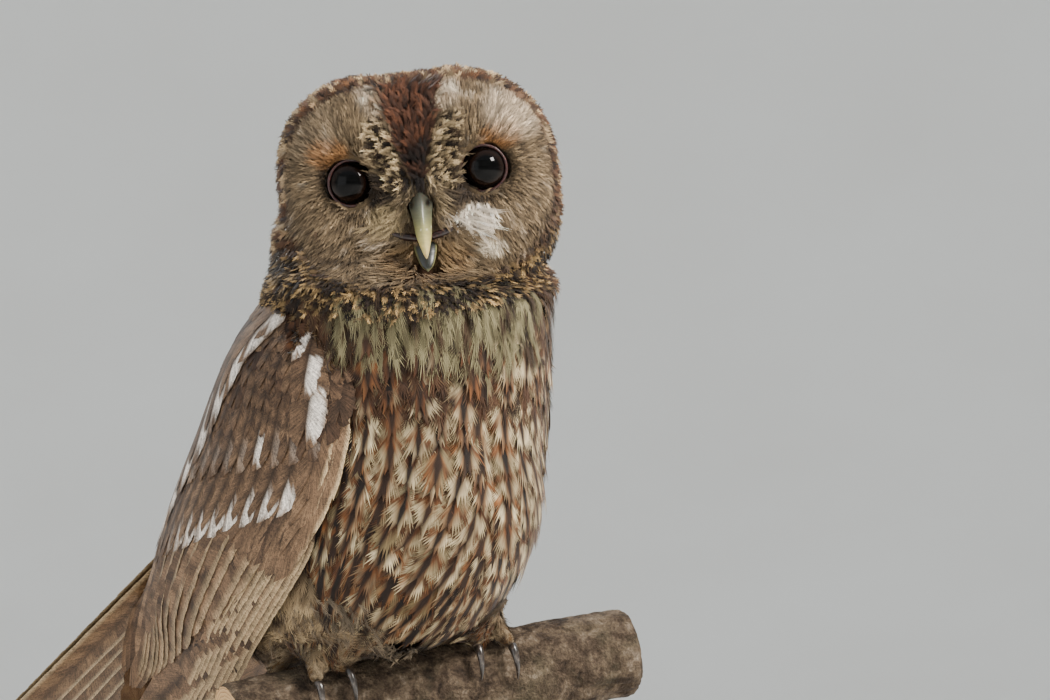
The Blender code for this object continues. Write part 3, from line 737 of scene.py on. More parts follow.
# ---------------------------------------------------------------- Bill
# Horn over bone: a steep hooked upper half, grey-green at its base and horn yellow at the tip, and a
# short scooped lower half. The open corners of the mouth show as dark red skin.
UPPER_BILL = (
    (-27.0, -11.5, 10.0, 12.0), (-36.5, -12.5, 9.4, 12.3), (-41.0, -16.0, 8.3, 11.3),
    (-44.3, -20.5, 7.2, 9.3), (-45.8, -25.0, 6.2, 7.0), (-46.0, -29.0, 4.0, 4.6),
    (-45.0, -32.5, 1.8, 2.0), (-44.3, -34.0, 0.2, 0.2),
)
LOWER_BILL = (
    (-26.0, -25.0, 10.5, 5.0), (-34.5, -29.0, 9.6, 4.4), (-38.5, -33.0, 7.8, 3.6), (-41.0, -36.8, 5.0, 2.6),
    (-42.2, -39.2, 0.3, 0.3),
)
NOSTRILS = ((-3.9, -11.8), (3.1, -11.4))
BILL_STEPS, BILL_SIDES = 9, 44


def spline(rows, steps):
    """Catmull-Rom stations through the rows: each stretch is the cubic that its two neighbours bend."""
    rows = np.asarray(rows, float)
    ends = np.concatenate([rows[:1], rows, rows[-1:]])
    t = (np.arange(steps) / steps)[None, :, None]
    a, b, c, d = (ends[k : len(ends) - 3 + k, None] for k in range(4))
    made = 0.5 * (2 * b + (c - a) * t + (2 * a - 5 * b + 4 * c - d) * t**2 + (3 * b - a - 3 * c + d) * t**3)
    return np.concatenate([made.reshape(-1, rows.shape[1]), rows[-1:]])


def bill_horn():
    """Polished keratin: coloured along its length, with fine growth lines and a low gloss."""
    surface, tree, shader = finish("bill_keratin", {
        "Roughness": 0.34, "Subsurface Weight": 0.12, "Subsurface Scale": 0.002, "Specular IOR Level": 0.45})
    lines = noise(tree, pattern_space(tree, (300, 300, 1400)), 1.0, 3)
    shaded(tree, shader, lines, (0.3, 0.7), (0.85, 1.1))
    relief(tree, shader, lines, 0.00015, 0.5)
    return surface


def horn_shell(stations, keel):
    """Oval sections square to the bill's curve, narrowed to a ridge above by keel: points in the head."""
    y, z, width, height = spline(stations, BILL_STEPS).T
    way = unit(vec(np.gradient(y), np.gradient(z)))
    turn = circle(BILL_SIDES)
    rise = height[:, None] / 2 * np.sin(turn)
    x = width[:, None] / 2 * np.cos(turn) * (1 - keel * np.maximum(0, np.sin(turn)))
    return np.stack([x, y[:, None] + way[:, 1:] * rise, z[:, None] - way[:, :1] * rise], -1)


def make_bill():
    horn = bill_horn()
    upper = horn_shell(UPPER_BILL, 0.42)
    x, y, z = upper[..., 0], upper[..., 1], upper[..., 2]
    hole = sum(np.exp(-(((x - nx) / 1.0) ** 2) - ((z - nz) / 1.35) ** 2) for nx, nz in NOSTRILS)
    hole = np.where(y < -36, hole, 0)
    swell = sum(np.exp(-(((x - nx) / 2.4) ** 2) - ((z - nz) / 2.8) ** 2) for nx, nz in NOSTRILS)
    upper[..., 1] = y - 0.9 * np.where(y < -34, swell, 0) + 2.6 * hole
    stops = (-34, -29, -22, -17, -12, -6)
    hues = np.array([linear(c) for c in ("#d8c68c", "#c2b273", "#8f8a58", "#62634c", "#4a4b40", "#3b3a33")])
    colours = np.stack([np.interp(z, stops, hues[:, k]) for k in range(3)], -1)
    ridge = smooth(3.2, 0.8, np.abs(x)) * smooth(-8, -14, z)
    colours = mixed(colours * 0.72, colours * 1.08, ridge)
    # The nostrils' hollows are painted near black: painted shade inside them.
    colours = mixed(colours, linear(NOSTRIL_SHADE) * 0.5, np.clip(hole * 1.3, 0, 1))
    chips = smooth(0.35, 0.6, cloud(upper, 1.1, 20)) * patch(upper, 0, -21.5, 3.4, 1.6)
    colours = mixed(colours, "#d9d2b4", 0.8 * chips)
    faces = grid_faces(len(upper), BILL_SIDES)
    mesh_piece("bill_horn_upper", from_head(upper.reshape(-1, 3)), faces, horn, ["bill_upper"],
               colours.reshape(-1, 3))

    lower = horn_shell(LOWER_BILL, 0.0)
    x, z = lower[..., 0], lower[..., 2]
    edge = smooth(0.8, 1.0, np.abs(x) / (np.abs(x).max(1, keepdims=True) + 0.01)) + smooth(-37.5, -39.2, z)
    colours = mixed("#1c1e1b", "#77744c", np.clip(edge, 0, 1) * 0.85)
    faces = grid_faces(len(lower), BILL_SIDES)
    mesh_piece("bill_horn_lower", from_head(lower.reshape(-1, 3)), faces, horn, ["bill_lower"],
               colours.reshape(-1, 3))


make_bill()


# The open corners of the mouth: moist dark red skin in a shallow bow either side of the bill.
GAPE = ((3.0, -25.2, 1.6), (7.5, -24.3, 1.7), (12.0, -22.9, 1.2), (16.5, -21.2, 0.3))
GAPE_SIDES, GAPE_SINK = 12, 0.9


def mouth_skin():
    """Moist bare skin: dark red, nearly black inside, with a wet gloss and fine folds."""
    surface, tree, shader = finish("moist_mouth_skin", {"Roughness": 0.3})
    folds = noise(tree, pattern_space(tree), 900, 3)
    tree.links.new(ramp(tree, folds, (0.35, "#0b0403"), (0.6, "#220c0a"), (0.75, "#4a1f1a")),
                   shader.inputs["Base Color"])
    relief(tree, shader, folds, 0.0003, 0.6)
    return surface


def make_mouth():
    """Two tapering rolls of skin that follow the face's own surface along the gape."""
    skin = mouth_skin()
    turn = circle(GAPE_SIDES)
    for name, side in SIDES:
        x, z, radius = spline(GAPE, 8).T
        front, inwards = from_head(vec(side * x, -60, z)), Vector(HEAD_AXES @ [0, 1, 0])
        hits = [torso.tree.ray_cast(Vector(place), inwards)[0] for place in front]
        y = in_head(np.array([tuple(hit) for hit in hits]))[:, 1] + GAPE_SINK
        across = vec(0, -0.9 * np.sin(turn), np.cos(turn))
        points = vec(side * x, y, z)[:, None] + across * radius[:, None, None]
        faces = grid_faces(len(x), len(turn))
        ends = np.array([[0, k, k + 1] for k in range(1, len(turn) - 1)])
        faces = np.concatenate([faces, ends[:, ::-1], ends + (len(x) - 1) * len(turn)])
        mesh_piece(f"mouth_corner_{name}", from_head(points.reshape(-1, 3)), faces, skin,
                   merge=True)


make_mouth()


# ---------------------------------------------------------------- Claws
# Eight long curved claws of dark horn, sharp and round in section, each set in a feathered toe.
CLAWS = [f"claw_{toe}_{side}" for side in ("left", "right") for toe in ("inner", "middle", "outer", "rear")]


def claw_horn():
    """Dark horn: blackish brown with lengthways wear, polished by use."""
    surface, tree, shader = finish("claw_keratin", {"Roughness": 0.28, "Coat Weight": 0.3,
                                                    "Coat Roughness": 0.15})
    wear = noise(tree, pattern_space(tree), 500, 4, 0.6, 0.5)
    tree.links.new(ramp(tree, wear, (0.35, "#0f0c0a"), (0.55, "#2c2520"), (0.72, "#5b5048")),
                   shader.inputs["Base Color"])
    relief(tree, shader, wear, 0.0002, 0.5)
    return surface


def make_claws():
    """Each is its CAD solid, merged and rounded by subdivision."""
    horn = claw_horn()
    for name in CLAWS:
        mesh = merged([name], f"{name}_horn")
        mesh.shade_smooth()
        mesh.materials.append(horn)
        claw = bpy.data.objects.new(f"{name}_horn", mesh)
        bpy.context.scene.collection.objects.link(claw)
        rounded = claw.modifiers.new("rounded", "SUBSURF")
        rounded.levels = rounded.render_levels = 2
        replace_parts(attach(claw, "root"), name)


make_claws()


# ---------------------------------------------------------------- Body feathers
# Soft contour feathers lie like tiles, down the breast, belly and flanks and back over the rump. Each
# has a shaft and barbs whose loose tips fray the edge. They are cream with a dark shaft streak.
def vane_plan(barbs, rows, sweep, blade, split=0.4, start=0.03, blunt=False):
    """A feather's plan. On either side, barb k leaves the shaft at its own share of the length, runs
    out to the edge that blade gives and forward by sweep, and past split narrows to a point, or, if
    blunt, holds its width so that the edge is whole."""
    edges = start + (1 - start) * np.arange(barbs + 1) / barbs
    middle, width = (edges[1:] + edges[:-1]) / 2, np.diff(edges)
    places = []
    for k, row in enumerate(rows):
        open_width = 1.0 if blunt else min(1.0, (1 - row) / (1 - split))
        for side in (-0.5, 0.5) if blunt or k < len(rows) - 1 else (0,):
            places.append(vec(middle + side * width * open_width, np.full(barbs, row)))
    plan = np.stack(places, 1)
    each = plan.shape[1]
    whole = range(len(rows) - 1 if blunt else len(rows) - 2)
    strip = [(2 * k, 2 * k + 1, 2 * k + 3, 2 * k, 2 * k + 3, 2 * k + 2) for k in whole]
    strip = np.reshape(strip, (-1, 3)).astype(int)
    if not blunt:
        strip = np.concatenate([strip, [(each - 3, each - 2, each - 1)]])
    faces = (strip[None] + each * np.arange(barbs)[:, None, None]).reshape(-1, 3)
    tip, out = plan.reshape(-1, 2).T
    barb = np.repeat(np.arange(barbs), each)
    return {
        "tip": np.tile(tip, 2), "root": np.tile(tip * (1 - sweep), 2), "out": np.tile(out, 2),
        "wide": np.tile(blade(np.clip(tip, 0, 1)), 2), "side": np.repeat((1, -1), len(tip)),
        "barb": np.concatenate([barb, barb + barbs]), "barbs": 2 * barbs,
        "faces": np.concatenate([faces, faces[:, ::-1] + len(tip)]),
    }


def vanes(plan, spine, ups, half_width, paint, unwrap, rng, ragged=0.1, camber=0.15, lift=(0.2, 1.2),
          rise=1.4):
    """Feathers laid on spines: a plan's points go along and across each spine and above the form.

    The camber bends the edges down; paint gives colours from the places along and across, in mm."""
    count, steps = spine.shape[:2]
    way = unit(np.gradient(spine, axis=1))
    across = unit(np.cross(ups, way))
    half_width = np.broadcast_to(np.asarray(half_width, float), count)[:, None]
    stray = rng.standard_normal((count, plan["barbs"]))[:, plan["barb"]]
    frayed = 1 + ragged * stray * smooth(0.2, 1, plan["out"])
    out = plan["out"] * frayed
    along = plan["root"] + (plan["tip"] - plan["root"]) * out
    place = np.clip(along, 0, 1.12) * (steps - 1)
    first = np.clip(np.floor(place), 0, steps - 2).astype(int)
    share = (place - first)[..., None]

    def between(values):
        low = np.take_along_axis(values, first[..., None], 1)
        return lerp(low, np.take_along_axis(values, first[..., None] + 1, 1), share)

    aside = plan["side"] * plan["wide"] * out * half_width
    low, high = (np.broadcast_to(np.asarray(end, float), count)[:, None] for end in lift)
    height = low + (high - low) * np.clip(along, 0, 1.1) ** rise - camber * aside**2 / half_width
    points = between(spine) + between(across) * aside[..., None] + between(ups) * height[..., None]
    length = np.linalg.norm(np.diff(spine, axis=1), axis=-1).sum(1)[:, None]
    colours = paint(along, aside, length)
    start = rng.random((count, 1)) * 400
    barbs = np.stack([plan["root"] * length + start, np.abs(aside)], -1)
    patch_uv = unwrap(spine[:, 0])[:, None] + 0.003 * np.stack([along - 0.5, 0.5 * plan["side"] * out], -1)
    faces = plan["faces"][None] + along.shape[1] * np.arange(count)[:, None, None]
    return {"points": points, "faces": faces, "colours": colours, "barbs": barbs, "bake": patch_uv}


def plumage_piece(name, groups, surface):
    """Joins groups of feathers into one mesh that rides with the body."""
    shift, faces = 0, []
    for group in groups:
        faces.append(group["faces"].reshape(-1, 3) + shift)
        shift += group["points"].size // 3
    joined = {key: np.concatenate([group[key].reshape(-1, group[key].shape[-1]) for group in groups])
              for key in ("points", "colours", "barbs", "bake")}
    faces = np.concatenate(faces)
    return mesh_piece(name, joined["points"], faces, surface, (), joined["colours"],
                      {"OFBake": joined["bake"], "Barbs": joined["barbs"]})


def feather_keratin(name, barb, contrast, inputs=None):
    """Feather: matt keratin with a faint silky sheen, streaked finely along its barbs, barb mm apart."""
    surface, tree, shader = finish(name, {"Roughness": 0.72, "Specular IOR Level": 0.22, "Sheen Weight": 0.12,
                                          "Sheen Roughness": 0.4, **(inputs or {})})
    streaks = noise(tree, pattern_space(tree, (1 / barb, 0.12, 1), uv="Barbs"), 1.0, 3, 0.65)
    shaded(tree, shader, streaks, (0.25, 0.75), (1 - contrast, 1 + contrast))
    relief(tree, shader, streaks, 0.00025, 0.6)
    return surface


def lie(form, roots, aim, lengths, steps, stray=0.0):
    """Spines: equal steps over the form from each root, each in the direction aim gives there."""
    place, up = form.at(roots)
    spine, ups = [place], [up]
    stray = np.broadcast_to(stray, len(roots))[:, None]
    stride = np.broadcast_to(lengths, len(roots))[:, None] / (steps - 1)
    for _ in range(steps - 1):
        way = aim(place)
        way = unit(way - up * (way * up).sum(-1, keepdims=True))
        way = way * np.cos(stray) + np.cross(up, way) * np.sin(stray)
        place, up = form.at(place + way * stride)
        spine.append(place)
        ups.append(up)
    return np.stack(spine, 1), np.stack(ups, 1)


def trunk_unwrap(places):
    """Round the body by turn, and up it by height, on a square map."""
    turn = np.arctan2(places[:, 0], -(places[:, 1] - 10)) / (2 * np.pi) + 0.5
    return np.stack([0.02 + 0.96 * turn, 0.02 + 0.96 * (places[:, 2] - 100) / 220], -1)


RUMP = np.array([0.0, 110.0, 150.0])
ANKLES = np.array([[32.3, -31.7, 135.0], [-35.2, -7.2, 121.7]])


def body_flow(places):
    """The lie of the body's feathers: straight down, drawn in low down towards the feet and the vent
    in front, and towards the tail behind."""
    down = np.broadcast_to([0.0, 0.0, -1.0], places.shape)
    x = places[:, 0]
    goal = vec(0.42 * x - 2 - 13 * smooth(6, -16, x), -15, 112)
    front = unit(lerp(down, unit(goal - places), smooth(232, 150, places[:, 2:])))
    back = unit(lerp(down, unit(RUMP - places), smooth(290, 200, places[:, 2:])))
    return unit(lerp(front, back, smooth(15, 45, places[:, 1:2])))


# Belly columns: one shaft streak runs on down each, through feather after feather.
COLUMN_TOP, COLUMNS, COLUMN_STEP, COLUMN_STEPS = 258.0, 44, 2.0, 96
CROWDED = 4.6
CONTOUR_LENGTH, CONTOUR_PITCH, CONTOUR_STEPS = 27.0, 11.5, 8


def contour_blade(y):
    """A body feather's outline: narrow at its base, widest past the middle, broadly rounded."""
    return np.sin(np.pi * (0.04 + 0.96 * np.clip(y, 0, 1) ** 1.1)) ** 0.55


def columns_of(form, starts, steps):
    """Lines that follow the lie of the feathers over the form, with the form's normals along them."""
    place, up = form.at(starts)
    path, ups = [place], [up]
    for _ in range(steps):
        way = body_flow(place)
        place, up = form.at(place + unit(way - up * (way * up).sum(-1, keepdims=True)) * COLUMN_STEP)
        path.append(place)
        ups.append(up)
    return np.stack(path, 1), np.stack(ups, 1)


def along_path(path, distances):
    """Places at those distances, in mm, along each path of even steps: one row of distances a path."""
    place = np.clip(distances / COLUMN_STEP, 0, path.shape[1] - 1.001)
    first = np.floor(place).astype(int)[..., None]
    low = np.take_along_axis(path, first, 1)
    return lerp(low, np.take_along_axis(path, first + 1, 1), place[..., None] - first)


def contour_paint(middle, width, rng):
    """A contour feather's markings: a black-brown shaft streak with a rusty border, and either side of
    it cream blotches cut by ragged bars. High on the breast the blotches shrink to spots and the ground
    darkens, partly its own colour and partly painted shade under the head, and the back is darker. The
    cream is painted lighter towards the owl's left, as painted light falling from that side."""
    count = len(middle)
    local = in_head(middle)
    # Darker upper breast: partly the plumage's own colour, partly painted shade under the head, fading out
    # towards the owl's left where the light falls.
    high = smooth(202, 226, middle[:, 2]) * smooth(36, 12, local[:, 0]) * smooth(20, 0, local[:, 1])
    high = high[:, None]
    back = smooth(5, 45, middle[:, 1])[:, None]
    # The cream is painted lighter towards the owl's left: painted light on the side the light falls on.
    pale = smooth(-30, 45, local[:, 0])[:, None]
    tone = rng.normal(0, 1, (6, count, 1))
    chance = rng.random((6, count, 1))
    cream = mixed("#625338", "#bfae8b", np.clip(0.47 + 0.24 * tone[2] + 0.25 * pale, 0, 1))
    rust = mixed("#472a16", "#84532d", np.clip(0.45 + 0.35 * tone[3], 0, 1))
    dark = mixed("#120a06", "#2b1a0f", np.clip(0.45 + 0.3 * tone[1], 0, 1))

    def paint(along, aside, length):
        side = np.abs(aside) / width[:, None]
        first = aside > 0
        far = along * length
        wobble = 1.1 * np.sin(4 * side + 3 * tone[0]) + 0.8 * np.sin(1.9 * far + 11 * side + 7 * tone[1])
        period = np.where(first, lerp(9.0, 15.0, chance[0]), lerp(9.0, 15.0, chance[1]))
        shift = np.where(first, chance[2], chance[3]) * 0.35 + 0.05
        cycle = ((length - far + wobble) / period - shift * 0.6) % 1.0
        share = lerp(0.7, 0.3, high)
        spot = smooth(0.03, 0.12, cycle) * smooth(share + 0.06, share - 0.05, cycle)
        reach = lerp(0.93, 0.55, high) + 0.06 * tone[0] + 0.05 * np.sin(2.1 * far + 5 * tone[4])
        spot = spot * smooth(reach + 0.06, reach - 0.08, side) * smooth(0.2, 0.32, along)
        spot = spot * (1 - 0.6 * back) * (1 - 0.6 * high) * smooth(0.02, 0.12, chance[4])
        dusk = 0.45 + 0.6 * high + 0.3 * back + 0.3 * np.sin(0.8 * far + tone[5])
        ground = mixed(rust, dark, np.clip(dusk, 0, 1))
        colour = mixed(ground, cream, np.clip(spot, 0, 1))
        streak = (1.55 + 0.3 * tone[3]) * np.minimum(1, width[:, None] / 5.5)
        streak = streak + 0.3 * np.sin(1.1 * far + tone[4])
        edge = np.abs(aside) - streak * smooth(0.1, 0.4, along)
        colour = mixed(colour, rust, 0.75 * smooth(1.1, 0.4, edge))
        return mixed(colour, dark, smooth(0.5, -0.4, edge))

    return paint


def jittered(spine, ups, aside, veer):
    """Spines moved sideways by aside mm at the root and veering off by that much more at the tip."""
    across = unit(np.cross(ups, unit(np.gradient(spine, axis=1))))
    share = np.linspace(0, 1, spine.shape[1])[None, :, None]
    return spine + across * (aside[:, None, None] + veer[:, None, None] * share)


def column_gaps(path, reach_apart):
    """How far each column's places are from the nearer of the columns that far away on either side."""
    gap = np.linalg.norm(np.roll(path, -reach_apart, 0) - path, axis=-1)
    return np.minimum(gap, np.roll(gap, reach_apart, 0))


def make_body_feathers():
    """Feathers down each column. Every other column lies over its neighbours, and where columns crowd
    together the ones beneath end."""
    rng = np.random.default_rng(11)
    plan = vane_plan(24, (0, 0.3, 0.65, 1), 0.5, contour_blade, split=0.86)
    turn = 2 * np.pi * (np.arange(COLUMNS) + 0.35 + rng.normal(0, 0.1, COLUMNS)) / COLUMNS
    starts = vec(70 * np.sin(turn), -8 - 80 * np.cos(turn), COLUMN_TOP + 8 * rng.random(COLUMNS))
    path, ups = columns_of(torso, starts, COLUMN_STEPS)
    gap, wide_gap = column_gaps(path, 1), column_gaps(path, 2)
    beneath = (np.arange(COLUMNS) % 2 == 1)[:, None]
    stuck = np.linalg.norm(np.diff(path, axis=1, prepend=path[:, :1] - 9), axis=-1) < 0.5 * COLUMN_STEP
    done = (path[..., 2] < 119.5) | stuck | (beneath & (gap < CROWDED))
    gap = np.where(gap < CROWDED, np.clip(0.62 * wide_gap, CROWDED, 9), gap)
    reach = COLUMN_STEP * np.argmax(np.concatenate([done, np.ones((COLUMNS, 1), bool)], 1), 1)
    column, start, length = [], [], []
    for k in range(COLUMNS):
        at = -CONTOUR_PITCH * (0.5 * (k % 2) + 0.3 * rng.random())
        while at < reach[k] - 7:
            if at >= 0:
                column.append(k)
                start.append(at)
                length.append(min(CONTOUR_LENGTH * rng.normal(1, 0.1), reach[k] - at + 10))
            at += CONTOUR_PITCH * rng.normal(1, 0.15)
    column, start, length = np.array(column), np.array(start), np.array(length)
    distances = start[:, None] + length[:, None] * np.linspace(0, 1, CONTOUR_STEPS)
    spine, spine_ups = along_path(path[column], distances), along_path(ups[column], distances)
    local_gap = along_path(gap[column][..., None], distances)[:, 4, 0]
    width = np.clip(0.9 * local_gap, 3.0, 8.6) * rng.normal(1, 0.08, len(column))
    over = 1.0 - column % 2

    filled = torso.scatter(lambda p: (p[:, 2] > 128) & (p[:, 2] < 225), 7.0, rng)
    near = np.linalg.norm(filled[:, None] - path.reshape(-1, 3)[None, ::3], axis=-1).min(1)
    filled = filled[near > 6.0]
    extra, extra_ups = lie(torso, filled - 8 * body_flow(filled), body_flow, CONTOUR_LENGTH * 0.9,
                           CONTOUR_STEPS)
    spine, spine_ups = np.concatenate([spine, extra]), np.concatenate([spine_ups, extra_ups])
    width = np.concatenate([width, rng.uniform(4.2, 6.0, len(extra))])
    over = np.concatenate([over, np.full(len(extra), 0.2)])
    count = len(spine)
    spine = jittered(spine, spine_ups, rng.normal(0, 0.7, count), rng.normal(0, 1.3, count))
    lift = 0.3 + 0.8 * over + 0.7 * rng.random(count)
    middle = spine[:, 5]
    groups = []
    for chosen in (middle[:, 1] < 12, middle[:, 1] >= 12):
        paint = contour_paint(middle[chosen], width[chosen], rng)
        groups.append(vanes(plan, spine[chosen], spine_ups[chosen], width[chosen], paint, trunk_unwrap,
                            rng, 0.12, 0.1, (-3.6, lift[chosen]), 0.8))
    return groups


BELLY_VANE = feather_keratin("belly_feather_keratin", 0.4, 0.42)
for name, group in zip(("belly_feathers", "back_feathers"), make_body_feathers()):
    plumage_piece(name, [group], BELLY_VANE)


# ---------------------------------------------------------------- Legs and feet
# The legs are feathered to the claws: loose buff and brown plumes down the shanks, small close tufts
# on the toes, and wisps of grey down between the legs.
def leg_flow(places):
    """Down the shank to the nearer ankle, then out along the toes and down over the perch."""
    near = np.argmin(np.linalg.norm(ANKLES[:, None] - places, axis=-1), 0)
    away = places - ANKLES[near]
    shank = unit(np.array([0.0, 0.0, -8.0]) - away)
    toes = unit(unit(away * [1, 1, 0.4]) + [0.0, 0.0, -0.3])
    return unit(lerp(toes, shank, smooth(1, 9, away[:, 2:])))


def down_flow(places):
    """Wisps hang down and forwards, out of the crease between the legs."""
    return unit(np.array([0.05, -0.35, -1.0]) + 0.5 * vec(*(cloud(places, 6.0, 60 + k) for k in range(3))))


def leg_blade(y):
    return 0.3 + 0.7 * np.sin(np.pi * np.clip(y, 0, 1) ** 0.9)


def loose_tufts(keep, spacing, flow, length, half_width, plan, rng, colours, stray=0.25, lift=(-0.8, 1.0),
                curl=0.0):
    """Tufts over part of the body, each of a colour between two, mottled over a few millimetres."""
    roots = torso.scatter(keep, spacing, rng)
    count = len(roots)
    sizes = length * rng.normal(1, 0.18, count)
    spine, ups = lie(torso, roots, flow, sizes, 5, rng.normal(0, stray, count))
    spine = spine + ups * (curl * np.linspace(0, 1, 5)[None, :, None] ** 2 * rng.random((count, 1, 1)))
    share = np.clip(0.5 + 0.7 * cloud(spine[:, 2], 5.0, 61) + rng.normal(0, 0.22, count), 0, 1)
    tone = mixed(linear(colours[0]), linear(colours[1]), share)

    def paint(along, aside, far):
        # Each tuft darkens towards its root: painted shade under the tufts that lie over it.
        return tone[:, None] * (0.35 + 0.7 * smooth(0.1, 0.75, along))[..., None]

    return vanes(plan, spine, ups, half_width * rng.normal(1, 0.15, count), paint, trunk_unwrap, rng, 0.2,
                 0.1, lift, 1.0)


def above_ankle(places):
    """Height over the nearer ankle, and how far a place is from it on the level."""
    near = np.argmin(np.linalg.norm(ANKLES[:, None] - places, axis=-1), 0)
    away = places - ANKLES[near]
    return away[:, 2], np.hypot(away[:, 0], away[:, 1])


def on_shank(places):
    height, apart = above_ankle(places)
    return (height > -2) & (places[:, 2] < 158) & (apart < 27) & (places[:, 1] > -62)


def on_toes(places):
    height, apart = above_ankle(places)
    return (height <= 4) & (apart < 34) & (places[:, 2] < 150)


def between_legs(places):
    return (places[:, 2] < 141) & (np.abs(places[:, 1] + 5) < 42) & ~on_toes(places) & ~(
        on_shank(places) & (above_ankle(places)[1] < 16))


def make_leg_feathers():
    rng = np.random.default_rng(17)
    plume = vane_plan(9, (0, 0.4, 0.75, 1), 0.45, leg_blade, split=0.3)
    wisp = vane_plan(4, (0, 0.5, 1), 0.55, leg_blade, split=0.1)
    shanks = loose_tufts(on_shank, 2.7, leg_flow, 12.0, 2.4, plume, rng, ("#35251a", "#a38c6a"), 0.2,
                         (-0.8, 1.6), 1.0)
    toes = loose_tufts(on_toes, 1.5, leg_flow, 4.6, 0.95, wisp, rng, ("#3f2f21", "#9b876a"), 0.3,
                       (-0.3, 0.8), 0.7)
    down = loose_tufts(between_legs, 2.6, down_flow, 12.0, 1.1, wisp, rng, ("#352a20", "#7f705c"), 0.45,
                       (-0.5, 1.6), 3.0)
    plumage_piece("leg_feathers", [shanks, toes, down], BELLY_VANE)


make_leg_feathers()


# ---------------------------------------------------------------- Head plumage
# The facial discs are hair-like open feathers that ray out from the eyes. Small curled ones make the
# brows and the ruff, bristles stand about the bill, and barred scale-like ones cover crown and nape.
def head_unwrap(places):
    """Turn and height about the head's middle, on a square map."""
    local = unit(in_head(places) - np.array([0, 6.0, -3.0]))
    turn = np.arctan2(local[:, 0], -local[:, 1]) / (2 * np.pi) + 0.5
    rise = np.arcsin(np.clip(local[:, 2], -1, 1)) / np.pi + 0.5
    return vec(0.02 + 0.96 * turn, 0.02 + 0.96 * rise)


def to_world(local_ways):
    return unit(local_ways @ HEAD_AXES.T)


def disc_flow(places):
    """Rays from the nearer eye, sweeping a little down as they go out."""
    x, _, z = in_head(places).T
    total = 0
    for side in (-1, 1):
        dx, dz = x - side * EYE_APART, z - 0.5
        far = np.hypot(dx, dz)[:, None]
        total = total + vec(dx, 0, dz) / far**4
    return to_world(unit(total) + vec(0.12 * np.sign(x), 0 * x, -0.12))


def lore_flow(places):
    """Bristles ray out from the bill's base, down over the mouth's corners and up to the brows."""
    x, _, z = in_head(places).T
    return to_world(vec(x * 1.1, -0.2, z + 2.0))


def chin_flow(places):
    x, _, z = in_head(places).T
    return to_world(vec(x, 0, z + 22.0))


def brow_flow(places):
    x, _, z = in_head(places).T
    return to_world(vec(np.sign(x) * 0.85, -0.1, 0.6 - 0.01 * z))


def wedge_flow(places):
    """Forehead feathers stand up and lean apart in wisps."""
    local = in_head(places)
    return to_world(vec(0.05 * local[:, 0] + 0.8 * cloud(local, 5.0, 30), -0.25, 1.0))


def crown_flow(places):
    """Back over the crown and out over the rim, then down the nape and the sides."""
    x, y, z = in_head(places).T
    over = vec(0.35 * x / 50, 0.9, 0.35 * smooth(30, 0, z))
    side = vec(0.5 * np.sign(x), 0.75, -0.55)
    down = vec(0.1 * x / 50, 0.15, -1.0)
    way = lerp(side, over, smooth(8, 28, z)[:, None])
    return to_world(lerp(way, down, smooth(8, 38, y)[:, None]))


def ruff_flow(places):
    x, _, _ = in_head(places).T
    return to_world(vec(0.5 * x / 30, -0.15, -1.0))


def tuft_blade(y):
    return 0.35 + 0.65 * np.sin(np.pi * np.clip(y, 0, 1) ** 0.8)


def scale_blade(y):
    return np.sin(np.pi * np.clip(y, 0, 1) ** 0.9 * 0.9 + 0.2) ** 0.6


WISP = vane_plan(3, (0, 0.5, 1), 0.45, tuft_blade, split=0.2)
CURL = vane_plan(4, (0, 0.5, 1), 0.35, scale_blade, split=0.3)
SCALE = vane_plan(8, (0, 0.4, 0.75, 1), 0.3, scale_blade, split=0.5)
CROWN_SCALE = vane_plan(6, (0, 0.5, 1), 0.35, scale_blade, split=0.5)


def head_tufts(where, spacing, flow, length, half_width, plan, rng, tone=0.25, stray=0.2, lift=(-1.4, 0.5),
               root_shade=0.55, marks=None, steps=4, curl=0.0, ragged=0.12):
    """Tufts where a test holds on the head, each in the head's own colour there, darker at its root."""
    roots = torso.scatter(lambda places: where(in_head(places)), spacing, rng)
    count = len(roots)
    sizes = length(in_head(roots)) if callable(length) else np.full(count, float(length))
    sizes = sizes * rng.normal(1, 0.13, count)
    spine, ups = lie(torso, roots, flow, sizes, steps, rng.normal(0, stray, count))
    spine = spine + ups * (curl * np.linspace(0, 1, steps)[None, :, None] ** 2 * rng.random((count, 1, 1)))
    colours = (marks or head_marks)(in_head(spine[:, 1]))
    colours = colours * np.exp(rng.normal(0, tone, (count, 1)))

    def paint(along, aside, far):
        shade = root_shade + (1.08 - root_shade) * smooth(0.1, 0.8, along)
        return colours[:, None] * shade[..., None]

    wide = half_width * rng.normal(1, 0.15, count)
    return vanes(plan, spine, ups, wide, paint, head_unwrap, rng, ragged, 0.1, lift, 1.0)


